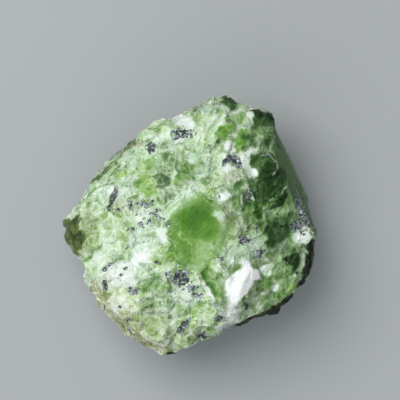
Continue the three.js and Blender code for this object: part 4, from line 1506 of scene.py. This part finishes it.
@dataclass(frozen=True)
class DiopsideFinish:
    """The stone's finish: frosty grains, glassy crystals, white seams with painted white glints on single
    grains, brown weathering and dark flakes with painted glints.

    Rates are waves or grains in a millimetre. A step is where something starts and where it is full.
    """

    dull: Stops = toned(
        (0.0, Colour(234, 244, 236)), (0.25, Colour(189, 217, 190)), (0.4, Colour(153, 184, 144)),
        (0.55, Colour(112, 144, 96)), (0.7, Colour(72, 106, 60)), (0.88, Colour(40, 70, 31)),
        (1.1, Colour(18, 28, 14)),
    )
    vivid: Stops = toned(
        (0.0, Colour(232, 244, 220)), (0.25, Colour(194, 225, 150)), (0.4, Colour(156, 195, 100)),
        (0.55, Colour(111, 161, 52)), (0.7, Colour(77, 131, 31)), (0.88, Colour(42, 82, 20)),
        (1.1, Colour(16, 32, 10)),
    )
    brown: Stops = toned(
        (0.0, Colour(214, 206, 176)), (0.4, Colour(168, 152, 112)), (0.7, Colour(112, 92, 60)),
        (1.1, Colour(44, 34, 24)),
    )
    lilac: Colour = Colour(188, 186, 194)
    snow: Colour = Colour(240, 244, 243)
    speck: Colour = Colour(34, 46, 36)
    flake_dark: Colour = Colour(78, 85, 88)
    # Painted glints: the light grey patches on the dark flakes.
    flake_glint: Colour = Colour(180, 188, 190)
    large_rate: float = 0.36
    small_rate: float = 0.95
    dust_rate: float = 2.3
    large_swing: float = 0.06
    small_swing: float = 0.13
    dust_swing: float = 0.09
    least_grain: float = 0.12
    warp_rate: float = 0.8
    warp_detail: float = 3.0
    warp: Triple = (0.9, 0.9, 0.9)
    frost_rate: float = 0.4
    frost_detail: float = 5.0
    frost_roughness: float = 0.6
    streak_turn: float = 52.0
    streak_size: Triple = (3.6, 0.55, 1.3)
    streak_detail: float = 3.0
    streak_swing: float = 0.24
    seam_paler: float = 0.2
    seam_fade: float = 1.2
    seam_offset: float = 0.015
    haze: float = 0.14
    haze_step: Step = (0.5, 0.72)
    pale_step: Step = (0.95, 0.45)
    seam_white: float = 0.5
    seam_step: Step = (0.32, 0.06)
    seam_frost: Step = (0.36, 0.58)
    cloud_white: float = 0.38
    cloud_step: Step = (0.57, 0.75)
    # Painted glints: single tiny grains turned white.
    painted_glint_white: float = 0.85
    painted_glint_step: Step = (0.93, 0.95)
    line_white: float = 0.5
    line_step: Step = (0.3, -0.15)
    line_gaps: Step = (0.2, 0.5)
    thread_white: float = 0.4
    thread_step: Step = (0.014, 0.004)
    least_white: float = 0.7
    white_swing: float = 0.6
    speck_share: float = 0.6
    speck_step: Step = (0.965, 0.98)
    flake_step: Step = (0.1, -0.05)
    flake_glint_step: Step = (0.3, 0.85)
    flake_metal: float = 0.4
    roughness: float = 0.5
    gloss_reach: float = 0.3
    shine_reach: float = 0.25
    shine_step: Step = (0.6, 0.75)
    refraction: float = 1.67
    specular: float = 0.15
    inner_glow: float = 0.3
    inner_radius: Triple = (0.7, 1.0, 0.45)
    inner_depth: float = 1.2
    skin_rate: float = 2.2
    skin_detail: float = 4.0
    skin_strength: float = 0.8
    skin_height: float = 0.22

    def build(self) -> bpy.types.Material:
        """Makes the material.

        Returns:
            The stone's material.
        """
        graph = Graph.named("diopside")
        here = self._values(graph)
        tone = self._tone(graph, here)
        dull, vivid, brown = (graph.ramp(tone, stops) for stops in (self.dull, self.vivid, self.brown))
        colour = graph.mix(graph.channel(Channel.VIVID), dull, vivid)
        colour = graph.mix(graph.channel(Channel.BROWN), colour, brown)
        colour = graph.mix(graph.channel(Channel.LILAC), colour, self.lilac)
        colour = graph.mix(self._snow_share(graph, here), colour, self.snow)
        speck_share = graph.times(here.grain, self.speck_share)
        specks = graph.times(graph.step(here.dust[2], *self.speck_step), speck_share)
        colour = graph.mix(specks, colour, self.speck)
        flake = graph.step(graph.channel(Channel.FLAKE), *self.flake_step)
        # The flakes' colour: dark grey with patches of painted glints.
        metal = graph.mix(graph.step(here.dust[0], *self.flake_glint_step), self.flake_dark, self.flake_glint)
        graph.set(Base_Color=graph.mix(flake, colour, metal), Metallic=graph.times(flake, self.flake_metal))
        self._gloss(graph, here)
        self._skin(graph, here)
        return graph.material

    def _values(self, graph: Graph) -> GrainValues:
        """What the finish's other steps read at each point.

        Args:
            graph: The material's graph.

        Returns:
            The values' sockets.
        """
        place = self._place(graph)
        frost = graph.noise(place, self.frost_rate, self.frost_detail, self.frost_roughness)
        return GrainValues(
            place=place,
            grain=graph.channel(Channel.GRAIN),
            frost=frost.outputs["Fac"],
            large=self._cells(graph, place, self.large_rate),
            small=self._cells(graph, place, self.small_rate),
            dust=self._cells(graph, place, self.dust_rate),
        )

    def _place(self, graph: Graph) -> Socket:
        """The point's place in millimetres, warped a little so that grains have crooked sides.

        Args:
            graph: The material's graph.

        Returns:
            The place's socket.
        """
        scaled = graph.node("ShaderNodeVectorMath", operation="SCALE")
        graph.feed(scaled.inputs[0], graph.node("ShaderNodeTexCoord").outputs["Object"])
        scaled.inputs["Scale"].default_value = 1 / MM
        noise = graph.noise(scaled.outputs[0], self.warp_rate, self.warp_detail)
        moved = graph.node("ShaderNodeVectorMath", operation="MULTIPLY_ADD")
        graph.feed(moved.inputs[0], noise.outputs["Color"])
        moved.inputs[1].default_value = self.warp
        graph.feed(moved.inputs[2], scaled.outputs[0])
        return moved.outputs[0]

    def _cells(self, graph: Graph, place: Socket, rate: float) -> tuple[Socket, ...]:
        """Three seeded values for each grain, as the parts of one colour.

        Args:
            graph: The material's graph.
            place: The warped place.
            rate: How many grains there are in a millimetre.

        Returns:
            The values' sockets.
        """
        voronoi = graph.node("ShaderNodeTexVoronoi")
        graph.feed(voronoi.inputs["Vector"], place)
        voronoi.inputs["Scale"].default_value = rate
        parts = graph.node("ShaderNodeSeparateColor")
        graph.feed(parts.inputs[0], voronoi.outputs["Color"])
        return tuple(parts.outputs)

    def _striae(self, graph: Graph, place: Socket) -> Socket:
        """The fine parallel streaks inside clear crystals, above and below zero.

        Args:
            graph: The material's graph.
            place: The warped place.

        Returns:
            The streaks' socket.
        """
        turned = graph.node("ShaderNodeMapping", vector_type="TEXTURE")
        graph.feed(turned.inputs["Vector"], place)
        turned.inputs["Rotation"].default_value = (0.0, 0.0, math.radians(self.streak_turn))
        turned.inputs["Scale"].default_value = self.streak_size
        return graph.minus(graph.noise(turned.outputs[0], 1.0, self.streak_detail).outputs["Fac"], 0.5)

    def _tone(self, graph: Graph, here: GrainValues) -> Socket:
        """The tone with each grain's own step, from 0 to 1 along the ramps.

        Args:
            graph: The material's graph.
            here: What is known of the point.

        Returns:
            The tone's socket.
        """
        steps = graph.swing(here.large[0], self.large_swing)
        steps = graph.plus(steps, graph.swing(here.small[0], self.small_swing))
        steps = graph.plus(steps, graph.swing(here.dust[0], self.dust_swing))
        depth = graph.times(graph.step(graph.channel(Channel.SEAM), 0.0, self.seam_fade), self.seam_paler)
        tone = graph.plus(graph.channel(Channel.TONE), graph.minus(depth, self.seam_offset))
        tone = graph.plus(tone, graph.times(steps, graph.plus(here.grain, self.least_grain)))
        clear_share = graph.minus(self.streak_swing, graph.times(here.grain, self.streak_swing))
        tone = graph.plus(tone, graph.times(self._striae(graph, here.place), clear_share))
        haze = graph.times(graph.step(here.frost, *self.haze_step), graph.times(here.grain, self.haze))
        return graph.math("DIVIDE", graph.minus(tone, haze), TONE_SPAN, clamp=True)

    def _snow_share(self, graph: Graph, here: GrainValues) -> Socket:
        """How white the stone is: its white grains, the seams between grains, painted glints on single
        grains, and the drawn lines.

        Args:
            graph: The material's graph.
            here: What is known of the point.

        Returns:
            The share's socket, from 0 to 1.
        """
        pale = graph.step(graph.channel(Channel.TONE), *self.pale_step)
        grain = graph.times(here.grain, pale)
        seam = graph.step(graph.channel(Channel.SEAM), *self.seam_step)
        seam = graph.times(seam, graph.step(here.frost, *self.seam_frost))
        seam = graph.times(seam, graph.times(grain, self.seam_white))
        cloud = graph.times(graph.step(here.frost, *self.cloud_step), graph.times(grain, self.cloud_white))
        # Painted glints: a few tiny grains made white where the grain is full.
        painted_glints = graph.times(graph.times(grain, grain), self.painted_glint_white)
        painted_glints = graph.times(graph.step(here.dust[1], *self.painted_glint_step), painted_glints)
        line = graph.step(graph.channel(Channel.LINE), *self.line_step)
        line = graph.times(graph.times(line, graph.step(here.small[0], *self.line_gaps)), self.line_white)
        thread = graph.step(graph.math("ABSOLUTE", graph.minus(here.frost, 0.5)), *self.thread_step)
        thread = graph.times(thread, graph.times(grain, self.thread_white))
        uneven = graph.plus(self.least_white, graph.times(here.small[2], self.white_swing))
        share = graph.math("MULTIPLY", graph.channel(Channel.WHITE), uneven, clamp=True)
        for other in (seam, cloud, painted_glints, line, thread):
            share = graph.math("MAXIMUM", share, other)
        return share

    def _gloss(self, graph: Graph, here: GrainValues) -> None:
        """Sets the gloss and the glow from inside the crystals.

        Args:
            graph: The material's graph.
            here: What is known of the point.
        """
        rough = graph.minus(self.roughness, graph.times(graph.channel(Channel.GLOSS), self.gloss_reach))
        shiny = graph.times(graph.step(here.small[1], *self.shine_step), here.grain)
        graph.set(
            Roughness=graph.minus(rough, graph.times(shiny, self.shine_reach), clamp=True),
            IOR=self.refraction,
            Specular_IOR_Level=self.specular,
            Subsurface_Weight=self.inner_glow,
            Subsurface_Radius=self.inner_radius,
            Subsurface_Scale=self.inner_depth * MM,
        )

    def _skin(self, graph: Graph, here: GrainValues) -> None:
        """Sets the finest relief, which is too small for the mesh.

        Args:
            graph: The material's graph.
            here: What is known of the point.
        """
        noise = graph.noise(here.place, self.skin_rate, self.skin_detail).outputs["Fac"]
        bump = graph.node("ShaderNodeBump")
        bump.inputs["Strength"].default_value = self.skin_strength
        bump.inputs["Distance"].default_value = self.skin_height * MM
        graph.feed(bump.inputs["Height"], graph.times(noise, graph.plus(here.grain, self.least_grain)))
        graph.set(Normal=bump.outputs["Normal"])


@dataclass(frozen=True)
class GraphiteFinish:
    """The flakes' finish: soft dark metal, with painted grey glints in patches of its colour."""

    dark: Colour = Colour(100, 106, 111)
    # Painted glints: the light grey patches of the plates' colour.
    light: Colour = Colour(186, 191, 196)
    rate: float = 1.4
    detail: float = 2.0
    glint_step: Step = (0.4, 0.65)
    metal: float = 0.5
    roughness: float = 0.35

    def build(self) -> bpy.types.Material:
        """Makes the material.

        Returns:
            The flakes' material.
        """
        graph = Graph.named("graphite")
        place = graph.node("ShaderNodeTexCoord").outputs["Object"]
        # Where the painted glints lie.
        light = graph.step(graph.noise(place, self.rate / MM, self.detail).outputs["Fac"], *self.glint_step)
        graph.set(
            Base_Color=graph.mix(light, self.dark, self.light), Metallic=self.metal, Roughness=self.roughness
        )
        return graph.material


@dataclass(frozen=True)
class BackdropFinish:
    """The floor's finish: a plain matt grey."""

    colour: Colour = Colour(171, 175, 178)
    roughness: float = 0.9
    specular: float = 0.1

    def build(self) -> bpy.types.Material:
        """Makes the material.

        Returns:
            The floor's material.
        """
        graph = Graph.named("pale floor")
        graph.set(
            Base_Color=self.colour.linear(), Roughness=self.roughness, Specular_IOR_Level=self.specular
        )
        return graph.material


@dataclass(frozen=True)
class Lamp:
    """A square soft light. Its place and side are in metres and its power in watts."""

    name: str
    place: Triple
    side: float
    power: float
    colour: Triple

    def build(self, aim: Vector) -> None:
        """Adds the light.

        Args:
            aim: What it faces, in metres.
        """
        light = bpy.data.lights.new(self.name, "AREA")
        light.size = self.side
        light.energy = self.power
        light.color = self.colour
        holder = placed(self.name, light)
        holder.location = self.place
        holder.rotation_euler = (aim - Vector(self.place)).to_track_quat("-Z", "Y").to_euler()


@dataclass
class Studio:
    """The floor, the soft lights and the camera that looks down on the broken face."""

    floor_side: float = 4.0
    floor_drop: float = 0.0002
    floor_squares: int = 8
    camera_x: float = 2.6
    camera_y: float = 6.27
    camera_height: float = 0.6
    farthest: float = 10.0
    rim_height: float = 22.0
    shown_width: float = 98.8
    sensor: float = 36.0
    room_light: float = 0.35
    room_colour: tuple[float, ...] = (0.86, 0.89, 0.92, 1.0)
    lamps: tuple[Lamp, ...] = (
        Lamp("key", (-0.28, 0.26, 0.74), 0.6, 5.6, (1.0, 0.99, 0.97)),
        Lamp("fill", (-0.3, -0.6, 0.5), 0.9, 2.0, (0.95, 0.98, 1.0)),
    )

    def build(self) -> bpy.types.Object:
        """Makes the camera, the lights and the floor.

        Returns:
            The floor.
        """
        self._camera()
        for lamp in self.lamps:
            lamp.build(Vector((0, 0, self.rim_height * MM)))
        world = bpy.data.worlds.new("soft room")
        world.use_nodes = True
        backdrop = world.node_tree.nodes["Background"]
        backdrop.inputs["Color"].default_value = self.room_colour
        backdrop.inputs["Strength"].default_value = self.room_light
        bpy.context.scene.world = world
        bpy.context.scene.view_settings.view_transform = "Standard"
        return self._floor()

    def _camera(self) -> None:
        """Puts the camera straight above the face, far enough away for a nearly parallel view."""
        lens = bpy.data.cameras.new("camera")
        lens.sensor_width = self.sensor
        lens.lens = self.sensor * self.camera_height / (self.shown_width * MM)
        lens.clip_end = self.farthest
        camera = placed("camera", lens)
        height = self.camera_height + self.rim_height * MM
        camera.location = (self.camera_x * MM, self.camera_y * MM, height)
        bpy.context.scene.camera = camera

    def _floor(self) -> bpy.types.Object:
        """A plain floor under the stone.

        Returns:
            The floor's object.
        """
        form = bmesh.new()
        bmesh.ops.create_grid(
            form,
            x_segments=self.floor_squares,
            y_segments=self.floor_squares,
            size=self.floor_side / 2,
            matrix=Matrix.Translation((0, 0, -self.floor_drop)),
        )
        mesh = bpy.data.meshes.new("floor")
        form.to_mesh(mesh)
        form.free()
        floor = placed("floor", mesh)
        floor.data.materials.append(BackdropFinish().build())
        return floor


def report(piece: bpy.types.Object) -> None:
    """Logs a piece's name and how many faces it has."""
    LOG.info("%s: %d faces", piece.name, len(piece.data.polygons))


def main() -> None:
    """Builds the studio, the stone and its flakes, in that order."""
    logging.basicConfig(level=logging.INFO, format="%(name)s: %(message)s")
    Studio().build()
    stone = Stone().build(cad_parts[NODE])
    stone.data.materials.clear()
    stone.data.materials.append(DiopsideFinish().build())
    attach(stone, BODY)
    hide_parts(NODE)
    report(stone)
    flakes = FlakePlates().build(stone)
    flakes.data.materials.append(GraphiteFinish().build())
    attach(flakes, BODY)
    report(flakes)


if __name__ == "__main__":
    main()
